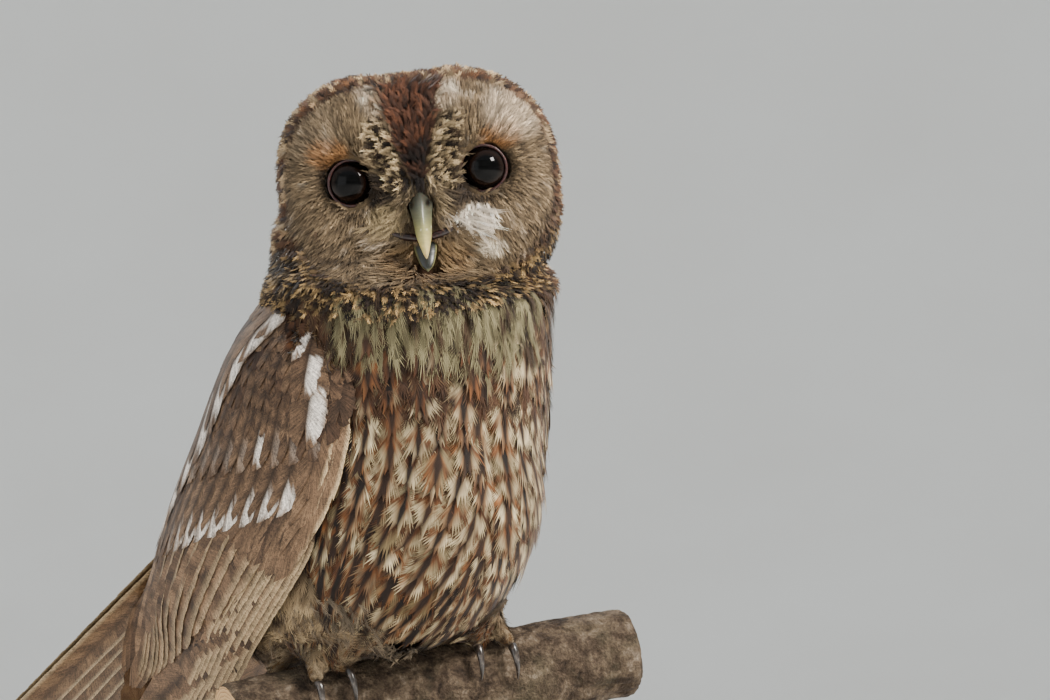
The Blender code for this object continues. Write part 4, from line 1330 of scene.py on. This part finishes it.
def zone(local):
    """The head's zones, each as true or false at every place."""
    x, y, z = local.T
    reach, brow = disc_reach(local), np.abs(x) - wedge_width(z)
    face = (y < 6) & (reach < 1.0) & (eye_distance(local) > 9.7)
    bill = (np.abs(x) < 4.6) & (z < -5) & (z > -39) & (y < -10)
    mouth = (np.abs(x) < 20) & (np.abs(z + 25.8 - 0.29 * np.abs(x)) < 1.0)
    wedge = face & (brow < 0) & (z > -4)
    on_brow = face & (brow >= 0) & (brow < 13 - 0.15 * np.abs(z)) & (z > -6) & (z < 24)
    lores = face & (np.hypot(x / 13, (z + 9) / 12) < 1) & ~on_brow & ~wedge
    chin = face & (np.abs(x) < 22) & (z < -23)
    disc = face & ~(wedge | on_brow | lores | chin)
    ruff = (y < 8) & (reach >= 0.97) & (reach < 1.3) & (z < -22) & (z > -58)
    return {"wedge": wedge, "brow": on_brow, "lores": lores & ~bill & ~mouth, "chin": chin & ~bill & ~mouth,
            "disc": disc & ~bill & ~mouth, "ruff": ruff, "crown": ~face & ~ruff & (z > -50)}


def cere_flow(places):
    """Short bristles lie down and apart over the bill's base."""
    x, _, _ = in_head(places).T
    return to_world(vec(0.12 * x, -0.5, -1.0))


def beside_mouth(local):
    """Where the longer bristles grow, along the mouth's corners."""
    x, y, z = local.T
    return (y < -5) & (np.abs(x) > 9) & (np.abs(x) < 24) & (np.abs(z + 24 - 0.2 * np.abs(x)) < 4.5)


def moustache_flow(places):
    x, _, _ = in_head(places).T
    return to_world(vec(np.sign(x) * 0.9, -0.1, -0.75))


def in_zone(name):
    return lambda local: zone(local)[name]


def cere(local):
    """Round the nostrils and over the root of the upper bill."""
    x, y, z = local.T
    return (np.abs(x) < 7.5) & (z > -9) & (z < 0.5) & (y < -20)


def make_head_plumage():
    rng = np.random.default_rng(23)
    disc = head_tufts(in_zone("disc"), 0.95, disc_flow, lambda p: 3.2 + 4.6 * smooth(9, 20, eye_distance(p)),
                      0.5, WISP, rng, 0.42, 0.18)
    brows = head_tufts(in_zone("brow"), 1.4, brow_flow, lambda p: 4.4 + 3.4 * smooth(15, 10, eye_distance(p)),
                       0.85, CURL, rng, 0.4, 0.5, (-0.6, 2.2), 0.25, curl=1.6)
    lores = head_tufts(in_zone("lores"), 1.25, lore_flow, 8.0, 0.5, WISP, rng, 0.3, 0.2, (-0.6, 1.2), 0.5,
                       curl=1.5)
    chin = head_tufts(in_zone("chin"), 1.3, chin_flow, 8.0, 0.6, WISP, rng, 0.3, 0.2, (-0.8, 1.2), 0.5,
                      curl=1.2)
    nostrils = head_tufts(cere, 1.1, cere_flow, 5.2, 0.45, WISP, rng, 0.35, 0.25, (0.4, 3.2), 0.4, curl=1.2,
                          marks=lambda p: 0.7 * head_marks(p))
    wedge = head_tufts(in_zone("wedge"), 1.8, wedge_flow, 6.5, 1.0, SCALE, rng, 0.45, 0.45, (-0.8, 2.0), 0.35,
                       curl=2.2, ragged=0.2)
    bristle = vane_plan(5, (0, 0.5, 1), 0.6, tuft_blade, split=0.05)
    moustache = head_tufts(beside_mouth, 2.2, moustache_flow, 12.0, 0.75, bristle, rng, 0.35, 0.3,
                           (-0.4, 2.6), 0.4, curl=4.5, marks=lambda p: 1.25 * head_marks(p), steps=6)
    face_vane = feather_keratin("face_feather_keratin", 0.3, 0.35)
    plumage_piece("disc_feathers", [disc], face_vane)
    plumage_piece("face_feathers", [brows, lores, chin, nostrils, wedge, moustache], face_vane)

    crown = head_tufts(lambda p: zone(p)["crown"] & (p[:, 1] < 22), 2.3, crown_flow, 6.5, 1.6, CROWN_SCALE,
                       rng, 0.42, 0.3, (-2.0, 1.3), 0.3, curl=1.3, ragged=0.25)
    nape = head_tufts(lambda p: zone(p)["crown"] & (p[:, 1] >= 18), 3.8, crown_flow, 12.0, 3.2,
                      CROWN_SCALE, rng, 0.3, 0.15, (-1.8, 1.0), 0.5, ragged=0.15, steps=5)
    ruff = head_tufts(in_zone("ruff"), 1.7, ruff_flow, 5.0, 1.05, CURL, rng, 0.42, 0.5, (-1.0, 1.2), 0.22,
                      curl=1.6, ragged=0.2)
    crown_vane = feather_keratin("crown_feather_keratin", 0.45, 0.25)
    plumage_piece("crown_feathers", [crown], crown_vane)
    plumage_piece("nape_and_ruff_feathers", [nape, ruff], crown_vane)


make_head_plumage()


# ---------------------------------------------------------------- Neck and bib
# Long loose feathers hang from under the ruff: a cream bib in strips in front, its olive tint partly a
# painted green cast of light reflected from leaves, and whole feathers painted dark as shade in the gaps
# between the strips; and brown ones with pale fringes round the sides and nape.
def neck_flow(places):
    down = np.broadcast_to([0.0, 0.0, -1.0], places.shape)
    return unit(down + 0.25 * unit(places - np.array([0.0, -10.0, 250.0])) * [1, 1, 0])


def plume_blade(y):
    return np.sin(np.pi * np.clip(y, 0, 1) ** 1.1 * 0.9 + 0.25) ** 0.7


def make_neck():
    rng = np.random.default_rng(31)
    plume = vane_plan(14, (0, 0.3, 0.65, 1), 0.35, plume_blade, split=0.25)

    def front(places):
        local = in_head(places)
        return (local[:, 1] < 4) & (np.abs(local[:, 0]) < 42)

    roots = torso.scatter(lambda p: (p[:, 2] > 246) & (p[:, 2] < 272) & front(p), 4.2, rng)
    count = len(roots)
    local = in_head(roots)
    length = (25 - 0.16 * np.abs(local[:, 0])) * rng.normal(1, 0.14, count)
    spine, ups = lie(torso, roots, neck_flow, length, 6, rng.normal(0, 0.1, count))
    strip = np.sin(local[:, 0] * 2 * np.pi / 11.5 + 0.9 * cloud(roots, 9.0, 40))[:, None]
    dark = smooth(0.1, 0.6, strip + rng.normal(0, 0.45, (count, 1)))
    tone = rng.normal(0, 1, (3, count, 1))

    def bib_paint(along, aside, far):
        # The bib's olive tint is partly painted green light reflected from leaves, over its own pale
        # grey-cream.
        pale = mixed("#4c4630", "#958c69", np.clip(0.5 + 0.3 * tone[0], 0, 1))
        deep = mixed("#150d07", "#3b2a1a", np.clip(0.5 + 0.3 * tone[1], 0, 1))
        heart = smooth(1.0, 0.2, np.abs(aside)) * smooth(0.9, 0.5, along)
        # Feathers in the dark strips are painted shade in the gaps between strips, and each darkens towards
        # its root as painted shade under the ones above; heart is its own dark shaft streak.
        share = np.clip(dark * 0.95 + 0.5 * heart + 0.5 * smooth(0.35, 0.05, along), 0, 1)
        return mixed(pale, deep, share)

    bib = vanes(plume, spine, ups, rng.uniform(1.7, 2.9, count), bib_paint, trunk_unwrap, rng, 0.3, 0.1,
                (-3.5, 0.5 + 1.6 * rng.random(count)), 0.8)

    roots = torso.scatter(lambda p: (p[:, 2] > 226) & (p[:, 2] < 286) & ~(front(p) & (p[:, 2] > 240)), 6.2,
                          rng)
    count = len(roots)
    spine, ups = lie(torso, roots, neck_flow, 19 * rng.normal(1, 0.12, count), 6, rng.normal(0, 0.1, count))
    wide = rng.uniform(3.4, 5.0, count)
    tones = rng.normal(0, 1, (3, count, 1))

    def neck_paint(along, aside, far):
        side = np.abs(aside) / wide[:, None]
        fringe = mixed("#5d4128", "#a38762", np.clip(0.45 + 0.3 * tones[0], 0, 1))
        deep = mixed("#23160d", "#4a3120", np.clip(0.5 + 0.3 * tones[1], 0, 1))
        bars = smooth(0.1, 0.7, np.sin(2 * np.pi * along * far / 5.0 + 3 * tones[2]))
        share = smooth(0.35, 0.8, side) * (0.45 + 0.55 * bars)
        return mixed(deep, fringe, share)

    neck = vanes(plume, spine, ups, wide, neck_paint, trunk_unwrap, rng, 0.22, 0.12, (-3.8, 0.9), 0.8)
    plumage_piece("neck_feathers", [bib, neck], BELLY_VANE)


make_neck()


# ---------------------------------------------------------------- Wings
# Each folded wing is tiled from its lowest layer up: primaries, secondaries, primary coverts and
# alula, greater, median and lesser coverts, then the scapulars that lie over it from the back.
WING_SECTIONS = (
    (137, 143, 0, 53, 49, 64, 118), (107, 124, 4, 65, 65, 54, 159), (68, 92, 16, 69.5, 72.5, 52, 162),
    (36, 63, 32, 70.5, 73.5, 57, 162), (3, 34, 61, 63, 61, 62, 150), (-23, 16, 97, 50, 38, 58, 116),
    (-50, -24, 136, 37, 17, 62, 100), (-58, -44, 149, 31, 9, 70, 96),
)


def wing_place(side, w, c):
    """A place on the folded wing: w runs from shoulder to tip over the sections, each an arc of an oval
    from a front angle to a back one, and c runs along the arc."""
    w, c = np.broadcast_arrays(np.asarray(w, float), np.asarray(c, float))
    rows = np.asarray(WING_SECTIONS, float)
    rows = np.concatenate([2 * rows[:1] - rows[1:2], rows, 2 * rows[-1:] - rows[-2:-1]])
    place = w * (len(WING_SECTIONS) - 1)
    first = np.clip(np.floor(place), 0, len(WING_SECTIONS) - 2).astype(int)
    t = (place - first)[..., None]
    p, q, r, s = (rows[first + k] for k in range(4))
    row = 0.5 * (2 * q + (r - p) * t + (2 * p - 5 * q + 4 * r - s) * t**2 + (3 * q - p - 3 * r + s) * t**3)
    front_z, back_z, middle, half_width, half_depth, front, back = np.moveaxis(row, -1, 0)
    turn = np.radians(lerp(front, back, c))
    x, y = side * half_width * np.sin(turn), middle - half_depth * np.cos(turn)
    return vec(x, y, lerp(front_z, back_z, c)) + FEET


def wing_spines(side, roots, tips, steps=10, bow=0.0):
    """Spines over the wing between places given as (w, c), bowed towards the back, and the normals there."""
    share = np.linspace(0, 1, steps)[None, :]
    w = lerp(roots[:, :1], tips[:, :1], share)
    c = lerp(roots[:, 1:], tips[:, 1:], share) + bow * share * (1 - share) * 4
    tiny = 0.004
    over = wing_place(side, w, c + tiny) - wing_place(side, w, c - tiny)
    down = wing_place(side, w + tiny, c) - wing_place(side, w - tiny, c)
    return wing_place(side, w, c), unit(np.cross(over, down)) * -side


def quill_blade(y):
    """A flight feather: widens fast from its base, nearly parallel, with a rounded end."""
    return smooth(-0.05, 0.2, y) ** 0.6 * np.sqrt(np.clip(1 - np.clip((y - 0.86) / 0.15, 0, 1) ** 2.2, 0, 1))


def covert_blade(y):
    """A covert: widest past its middle, with a broad round end."""
    return smooth(-0.15, 0.45, y) ** 0.7 * np.sqrt(np.clip(1 - np.clip((y - 0.66) / 0.35, 0, 1) ** 2.3, 0, 1))


QUILL = vane_plan(56, (0, 0.35, 0.7, 1), 0.08, quill_blade, blunt=True)
COVERT = vane_plan(22, (0, 0.35, 0.7, 1), 0.2, covert_blade, blunt=True)
SMALL_COVERT = vane_plan(14, (0, 0.5, 1), 0.25, covert_blade, blunt=True)


def wing_unwrap(side):
    """A wing's feathers lie on the map as seen from its own side, each wing on its own half."""
    def unwrap(places):
        v = np.stack([0.27 + 0.25 * side + (places[:, 1] - 30) / 520, (places[:, 2] - 45) / 250], -1)
        return np.clip(v, 0.01, 0.99)

    return unwrap


def wing_paint(side, wide, rng, white=0.0, span=(0.6, 0.9), bar=8.0, edge=0.0, tone=0.0, barring=0.5):
    """Warm brown, with dark bars and shaft. The web that faces forward may be white over a span of its
    length, before a dark tip, and its very edge may be buff."""
    count = len(wide)
    chance, shade = rng.random((3, count, 1)), rng.normal(0, 1, (3, count, 1))
    white = np.broadcast_to(np.asarray(white, float), count)[:, None]

    def paint(along, aside, length):
        front = -side * aside / wide[:, None]
        far = along * length
        brown = mixed("#35241a", "#7a6048", np.clip(0.5 + tone + 0.2 * shade[0], 0, 1))
        dark = mixed("#160e09", "#2f2016", np.clip(0.5 + 0.2 * shade[1], 0, 1))
        wave = np.sin(2 * np.pi * ((length - far) / bar + chance[0] * 0.3) + 1.6 * np.abs(front) + 0.5
                      * shade[2])
        bars = smooth(-0.1, 0.8, wave) * barring
        colour = mixed(brown, dark, bars)
        colour = mixed(colour, dark, 0.7 * smooth(0.98, 1.04, along))
        ragged = 0.03 * np.sin(3 * far) + 0.04 * np.sin(1.3 * far + 5 * shade[2])
        web = smooth(0.1, 0.22, front + ragged) * smooth(1.02, 0.86, front)
        patch_here = web * smooth(span[0] - 0.03, span[0] + 0.05, along + ragged) * smooth(
            span[1] + 0.02, span[1] - 0.03, along + ragged)
        colour = mixed(colour, "#d5ccc2", np.clip(patch_here * white, 0, 1))
        colour = mixed(colour, "#c6ad86", smooth(0.8, 0.93, front) * edge)
        return mixed(colour, dark * 0.7, 0.75 * smooth(0.75, 0.25, np.abs(aside)))

    return paint


def wing_layer(side, roots, tips, wide, off, plan, rng, bow=0.0, ragged=0.02, stack=0.0, camber=0.12,
               **marks):
    """One layer: feathers between roots and tips, off mm above the wing, each stack mm above the last."""
    roots, tips = np.asarray(roots, float), np.asarray(tips, float)
    count = len(roots)
    spine, ups = wing_spines(side, roots, tips, bow=bow)
    wide = np.broadcast_to(np.asarray(wide, float), count) * rng.normal(1, 0.04, count)
    level = off + stack * np.arange(count)
    return vanes(plan, spine, ups, wide, wing_paint(side, wide, rng, **marks), wing_unwrap(side), rng,
                 ragged, camber, (level - 0.8, level + 0.35), 0.7)


def staggered(w, c, half, stray, rng):
    """Rows of small feathers, every other row half a feather aside, and each a little out of line."""
    w, c = np.meshgrid(w, c, indexing="ij")
    c = c + half * (np.arange(len(w))[:, None] % 2)
    return (w + rng.normal(0, stray[0], w.shape)).ravel(), (c + rng.normal(0, stray[1], w.shape)).ravel()


def make_wing_feathers(side):
    """Places are (w, c): w from shoulder to tip and c from the front edge to the back one."""
    rng = np.random.default_rng(41)
    k = np.arange(10)
    roots, tips = vec(0.34, 0.03 + 0.016 * k), vec(0.76 + 0.026 * k, -0.03 + 0.036 * k)
    primaries = wing_layer(side, roots, tips, 9.0, -0.2, QUILL, rng, 0.01, 0.01, 0.06, 0.04, bar=17,
                           edge=0.62, tone=0.02, barring=0.6)
    k = np.arange(12)
    roots = vec(0.28 + 0.006 * k, 0.14 + 0.062 * k)
    tips = vec(0.5 + 0.052 * k - 0.0023 * k**2, 0.2 + 0.055 * k)
    secondaries = wing_layer(side, roots, tips, 12.5, 0.25, QUILL, rng, 0.0, 0.012, 0.05, 0.04, bar=15,
                             edge=0.36, barring=0.55)
    k = np.arange(7)
    roots, tips = vec(0.19, 0.035 + 0.018 * k), vec(0.47 - 0.006 * k, 0.03 + 0.03 * k)
    hand_coverts = wing_layer(side, roots, tips, 7.5, 0.6, COVERT, rng, 0.01, 0.02, 0.05, bar=14, tone=0.12,
                              barring=0.35, edge=0.35)
    k = np.arange(3)
    roots, tips = vec(0.1, 0.03 + 0.02 * k), vec(0.43 - 0.05 * k, 0.03 + 0.02 * k)
    alula = wing_layer(side, roots, tips, 6.5, 0.9, COVERT, rng, 0.0, 0.03, 0.15, bar=16, tone=0.08,
                       barring=0.4, edge=0.95)
    c = np.arange(0.13, 0.74, 0.052)
    w = np.interp(c, (0.13, 0.5, 0.74), (0.365, 0.475, 0.52))
    greater = wing_layer(side, vec(w - 0.2, c + 0.015), vec(w, c), 7.6, 1.0, COVERT, rng, 0.0, 0.03, 0.03,
                         white=0.9 * smooth(0.6, 0.4, c), span=(0.76, 0.95), bar=11, barring=0.5)
    c = np.arange(0.1, 0.7, 0.058)
    w = np.interp(c, (0.1, 0.5, 0.7), (0.27, 0.34, 0.38))
    marked = np.where(np.abs(c - 0.27) < 0.05, 0.9, 0.12)
    median = wing_layer(side, vec(w - 0.15, c + 0.015), vec(w, c), 7.6, 1.3, COVERT, rng, 0.0, 0.04, 0.02,
                        white=marked, span=(0.62, 0.9), bar=9, barring=0.55)
    w, c = staggered(np.arange(-0.02, 0.25, 0.034), np.arange(0.02, 0.68, 0.066), 0.033, (0.006, 0.008), rng)
    lesser = wing_layer(side, vec(w - 0.055, c + 0.01), vec(w + 0.03, c), 6.2, 1.2, SMALL_COVERT, rng, 0.0,
                        0.06, bar=6, barring=0.6, tone=-0.05)
    marks = np.array([(0.115, 0.23), (0.175, 0.145), (0.24, 0.115)])
    roots, tips = marks - [(0.11, -0.01), (0.12, -0.01), (0.14, -0.012)], marks + (0.01, 0.0)
    braces = wing_layer(side, roots, tips, (6.8, 7.4, 8.2), 1.9, COVERT, rng, 0.0, 0.04, 0.1, white=0.95,
                        span=(0.45, 0.88), bar=9)
    w = np.array([0.07, 0.125, 0.185, 0.245, 0.305, 0.365, 0.425, 0.48])
    c = np.array([0.50, 0.49, 0.49, 0.525, 0.57, 0.60, 0.64, 0.72])
    scapulars = wing_layer(side, vec(w - 0.2, c + 0.1), vec(w + 0.02, c + 0.012), 8.6, 2.3, COVERT, rng, 0.0,
                           0.03, -0.08, white=0.85, span=(0.5, 0.84), bar=10)
    w, c = staggered(np.arange(0.03, 0.5, 0.055), np.arange(0.62, 1.05, 0.085), 0.042, (0.008, 0.01), rng)
    mantle = wing_layer(side, vec(w - 0.11, c), vec(w + 0.03, c), 7.2, 1.2, COVERT, rng, 0.0, 0.05, bar=8,
                        barring=0.6, tone=-0.08)
    return [primaries, secondaries, hand_coverts, alula, greater, median, lesser, mantle, scapulars, braces]


def vermiculated(name):
    """Flight feather keratin: closed vanes with a silky gloss, finely marbled with wavy dark lines."""
    surface, tree, shader = finish(name, {"Roughness": 0.6, "Specular IOR Level": 0.22, "Sheen Weight": 0.03,
                                          "Sheen Roughness": 0.4})
    streaks = noise(tree, pattern_space(tree, (2.2, 0.12, 1), uv="Barbs"), 1.0, 3, 0.65)
    marbling = noise(tree, pattern_space(tree), 700, 3, 0.65, 1.6)
    both = node(tree, "Math", {0: marbling, 1: streaks}, operation="ADD").outputs[0]
    shaded(tree, shader, both, (0.75, 1.25), (0.3, 1.7))
    relief(tree, shader, streaks, 0.0002, 0.5)
    return surface


WING_VANE = vermiculated("wing_feather_keratin")
for wing_name, wing_side in SIDES:
    plumage_piece(f"wing_feathers_{wing_name}", make_wing_feathers(wing_side), WING_VANE)


# ---------------------------------------------------------------- Tail
# Twelve tail feathers in a slightly rounded fan, the middle pair on top, each barred brown. White
# under-tail coverts with dark shafts hide their roots from below, and brown ones from above.
TAIL_ROOT, TAIL_DROP, TAIL_BAR = np.array([0.0, 74.0, 64.0]), 40.0, 15.0
TAIL_LENGTH, TAIL_HALF_WIDTH, TAIL_FAN, TAIL_ROUNDING, TAIL_ARCH = 176.0, 30.0, 13.0, 9.0, 5.0
TAIL_COVERT_ROWS, TAIL_COVERT_LENGTH = ((-30.0, -16.0, 0.0, 16.0), (-34.0, -20.0, -6.0, 8.0, 22.0)), 42.0
TAIL_ALONG = np.array([0, math.cos(math.radians(TAIL_DROP)), -math.sin(math.radians(TAIL_DROP))])
TAIL_UP = np.array([0, math.sin(math.radians(TAIL_DROP)), math.cos(math.radians(TAIL_DROP))])


def tail_spines(across, start, end, level, steps=12):
    """Lines down the fan at shares across it, from one distance to another, level mm above its plate."""
    far = lerp(start, end, np.linspace(0, 1, steps)[None, :]) + 0 * across[:, None]
    x = across[:, None] * (TAIL_HALF_WIDTH + math.tan(math.radians(TAIL_FAN)) * far)
    thick = lerp(9.0, 2.2, np.clip(far / TAIL_LENGTH, 0, 1) ** 0.6) * (1 - 0.55 * across[:, None] ** 2)
    rise = np.sign(level) * thick / 2 + level - TAIL_ARCH * across[:, None] ** 2
    points = FEET + TAIL_ROOT + far[..., None] * TAIL_ALONG + rise[..., None] * TAIL_UP
    points = points + x[..., None] * [1, 0, 0]
    ups = np.broadcast_to(TAIL_UP * np.sign(np.broadcast_to(level, far.shape))[..., None], points.shape)
    return points, ups


def tail_unwrap(places):
    away = places - FEET - TAIL_ROOT
    return np.clip(np.stack([0.5 + away[:, 0] / 240, 0.06 + (away @ TAIL_ALONG + 40) / 320], -1), 0.01, 0.99)


def tail_paint(wide, rng, under):
    count = len(wide)
    shade = rng.normal(0, 1, (2, count, 1))

    def paint(along, aside, length):
        far = along * length
        brown = mixed("#47321f", "#7d6144", np.clip(0.45 + 0.15 * shade[0] + 0.35 * under, 0, 1))
        dark = mixed("#2c1c11", "#4c3523", 0.5 + 0.3 * under)
        wave = 2 * np.pi * (length - far) / TAIL_BAR + 2.0 * np.abs(aside) / wide[:, None]
        bars = smooth(0.0, 0.7, np.sin(wave))
        colour = mixed(brown, dark, 0.6 * bars)
        colour = mixed(colour, "#cdb791", 0.7 * smooth(0.86, 0.95, np.abs(aside) / wide[:, None]))
        colour = mixed(colour, "#d8c8a8", 0.8 * smooth(0.955, 0.985, along))
        return mixed(colour, dark * 0.7, 0.7 * smooth(0.8, 0.3, np.abs(aside)))

    return paint


def cover_paint(count, under, rng):
    """Tail coverts: brown ones with dark bars above, white ones with a dark shaft under the tail."""
    tone = rng.normal(0, 1, (2, count, 1))[0]

    def paint(along, aside, length):
        brown = mixed("#5d4029", "#8a6846", np.clip(0.5 + 0.25 * tone, 0, 1))
        white = mixed("#b9a98e", WHITE, np.clip(0.5 + 0.3 * tone, 0, 1))
        shaft = smooth(1.5, 0.9, np.abs(aside)) + (1 - under) * 0.5 * smooth(0.2, 0.8, np.sin(along * 30))
        return mixed(white if under else brown, UMBER, np.clip(shaft, 0, 1))

    return paint


def make_tail():
    rng = np.random.default_rng(53)
    groups = []
    across = (np.arange(12) - 5.5) / 6.0
    order = np.argsort(-np.abs(across))
    across = across[order]
    for under in (0, 1):
        wide = np.full(12, 10.5)
        rank = np.arange(12)[:: -1 if under else 1]
        level = (0.1 + 0.1 * rank)[:, None] * (-1 if under else 1)
        ends = (TAIL_LENGTH - TAIL_ROUNDING * across**2)[:, None]
        spine, ups = tail_spines(across, 0.0, ends, level)
        groups.append(vanes(QUILL, spine, ups, wide, tail_paint(wide, rng, under), tail_unwrap, rng, 0.012,
                            0.06, (-0.4, 0.0), 1.0))
    for under, rows in enumerate(TAIL_COVERT_ROWS):
        for n, start in enumerate(rows):
            across = np.linspace(-0.85, 0.85, 9 + n % 2)
            wide = np.full(len(across), 7.0)
            level = np.full((len(across), 1), (1.5 + 0.6 * (len(rows) - n)) * (-1 if under else 1))
            spine, ups = tail_spines(across, start, start + TAIL_COVERT_LENGTH, level, 8)
            sunk = smooth(10, -34, np.linspace(start, start + TAIL_COVERT_LENGTH, 8))[None, :, None]
            spine = spine - ups * sunk * 9.0
            groups.append(vanes(COVERT, spine, ups, wide, cover_paint(len(across), under, rng),
                                tail_unwrap, rng, 0.06, 0.12, (-1.0, 0.6), 0.8))
    plumage_piece("tail_feathers", groups, WING_VANE)


make_tail()


# ---------------------------------------------------------------- Room
# A plain pale floor that curves up into a wall all round, soft lamps, and a long lens a little below
# the bird's eye.
VIEW_TURN, VIEW_RISE, VIEW_DISTANCE = -40.0, -2.0, 5.0
VIEW_WIDTH = 0.4305            # metres across the picture at the bird
VIEW_ASIDE, VIEW_UP = 0.05371, 0.12177
WALL_RADIUS, WALL_CURVE, WALL_HEIGHT, WALL_SIDES = 11.0, 2.5, 9.0, 96


def pale_plaster():
    surface, tree, shader = finish("pale_plaster", {"Roughness": 0.9})
    cast = noise(tree, pattern_space(tree), 3.0, 3)
    tree.links.new(ramp(tree, cast, (0.3, "#eceae5"), (0.7, "#f1f0ec")), shader.inputs["Base Color"])
    return surface


def make_room():
    """A profile of floor, quarter round and wall, turned about the upright line."""
    arc = np.linspace(0, np.pi / 2, 12)
    radius = np.concatenate([[0, 1, 4], WALL_RADIUS - WALL_CURVE * (1 - np.sin(arc)), [WALL_RADIUS]])
    height = np.concatenate([[0, 0, 0], WALL_CURVE * (1 - np.cos(arc)), [WALL_HEIGHT]])
    points = turned(vec(radius, height) / MM, (0, 0, 0), WALL_SIDES)
    faces = grid_faces(len(radius), WALL_SIDES)[:, ::-1]
    mesh_piece("floor_and_wall", points, faces, pale_plaster())


def lamp(name, place, target, size, power, tint):
    light = bpy.data.lights.new(name, "AREA")
    light.shape, light.size, light.energy, light.color = "SQUARE", size, power, tint
    obj = bpy.data.objects.new(name, light)
    obj.location = place
    obj.rotation_euler = (Vector(target) - Vector(place)).to_track_quat("-Z", "Y").to_euler()
    obj.visible_camera = False
    bpy.context.scene.collection.objects.link(obj)


def make_view():
    """The camera looks at a point set aside from and above the feet, as far off as a long lens stands."""
    turn, rise = math.radians(VIEW_TURN), math.radians(VIEW_RISE)
    back = Vector((math.sin(turn) * math.cos(rise), -math.cos(turn) * math.cos(rise), math.sin(rise)))
    right = Vector((0, 0, 1)).cross(back).normalized()
    up = back.cross(right)
    target = Vector(FEET * MM) + right * VIEW_ASIDE + up * VIEW_UP
    data = bpy.data.cameras.new("camera")
    data.sensor_width = 36.0
    data.lens = data.sensor_width * VIEW_DISTANCE / VIEW_WIDTH
    camera = bpy.data.objects.new("camera", data)
    camera.matrix_world = Matrix.Translation(target + back * VIEW_DISTANCE) @ Matrix(
        (right, up, back)).transposed().to_4x4()
    bpy.context.scene.collection.objects.link(camera)
    bpy.context.scene.camera = camera
    bird = Vector((0, -0.02, 0.27))
    lamp("key_softbox", bird + right * 1.05 + up * 1.15 + back * 0.75, bird, 0.45, 66, (1.0, 0.95, 0.88))
    lamp("fill_softbox", bird - right * 1.3 + up * 0.3 + back * 1.1, bird, 1.4, 9, (0.95, 0.98, 1.0))
    lamp("back_softbox", bird - right * 0.5 + up * 1.2 - back * 1.1, bird, 0.8, 30, (1.0, 1.0, 1.0))
    world = bpy.data.worlds.new("studio")
    world.use_nodes = True
    world.node_tree.nodes["Background"].inputs["Color"].default_value = (0.9, 0.95, 1.0, 1)
    world.node_tree.nodes["Background"].inputs["Strength"].default_value = 1.0
    bpy.context.scene.world = world


make_room()
make_view()
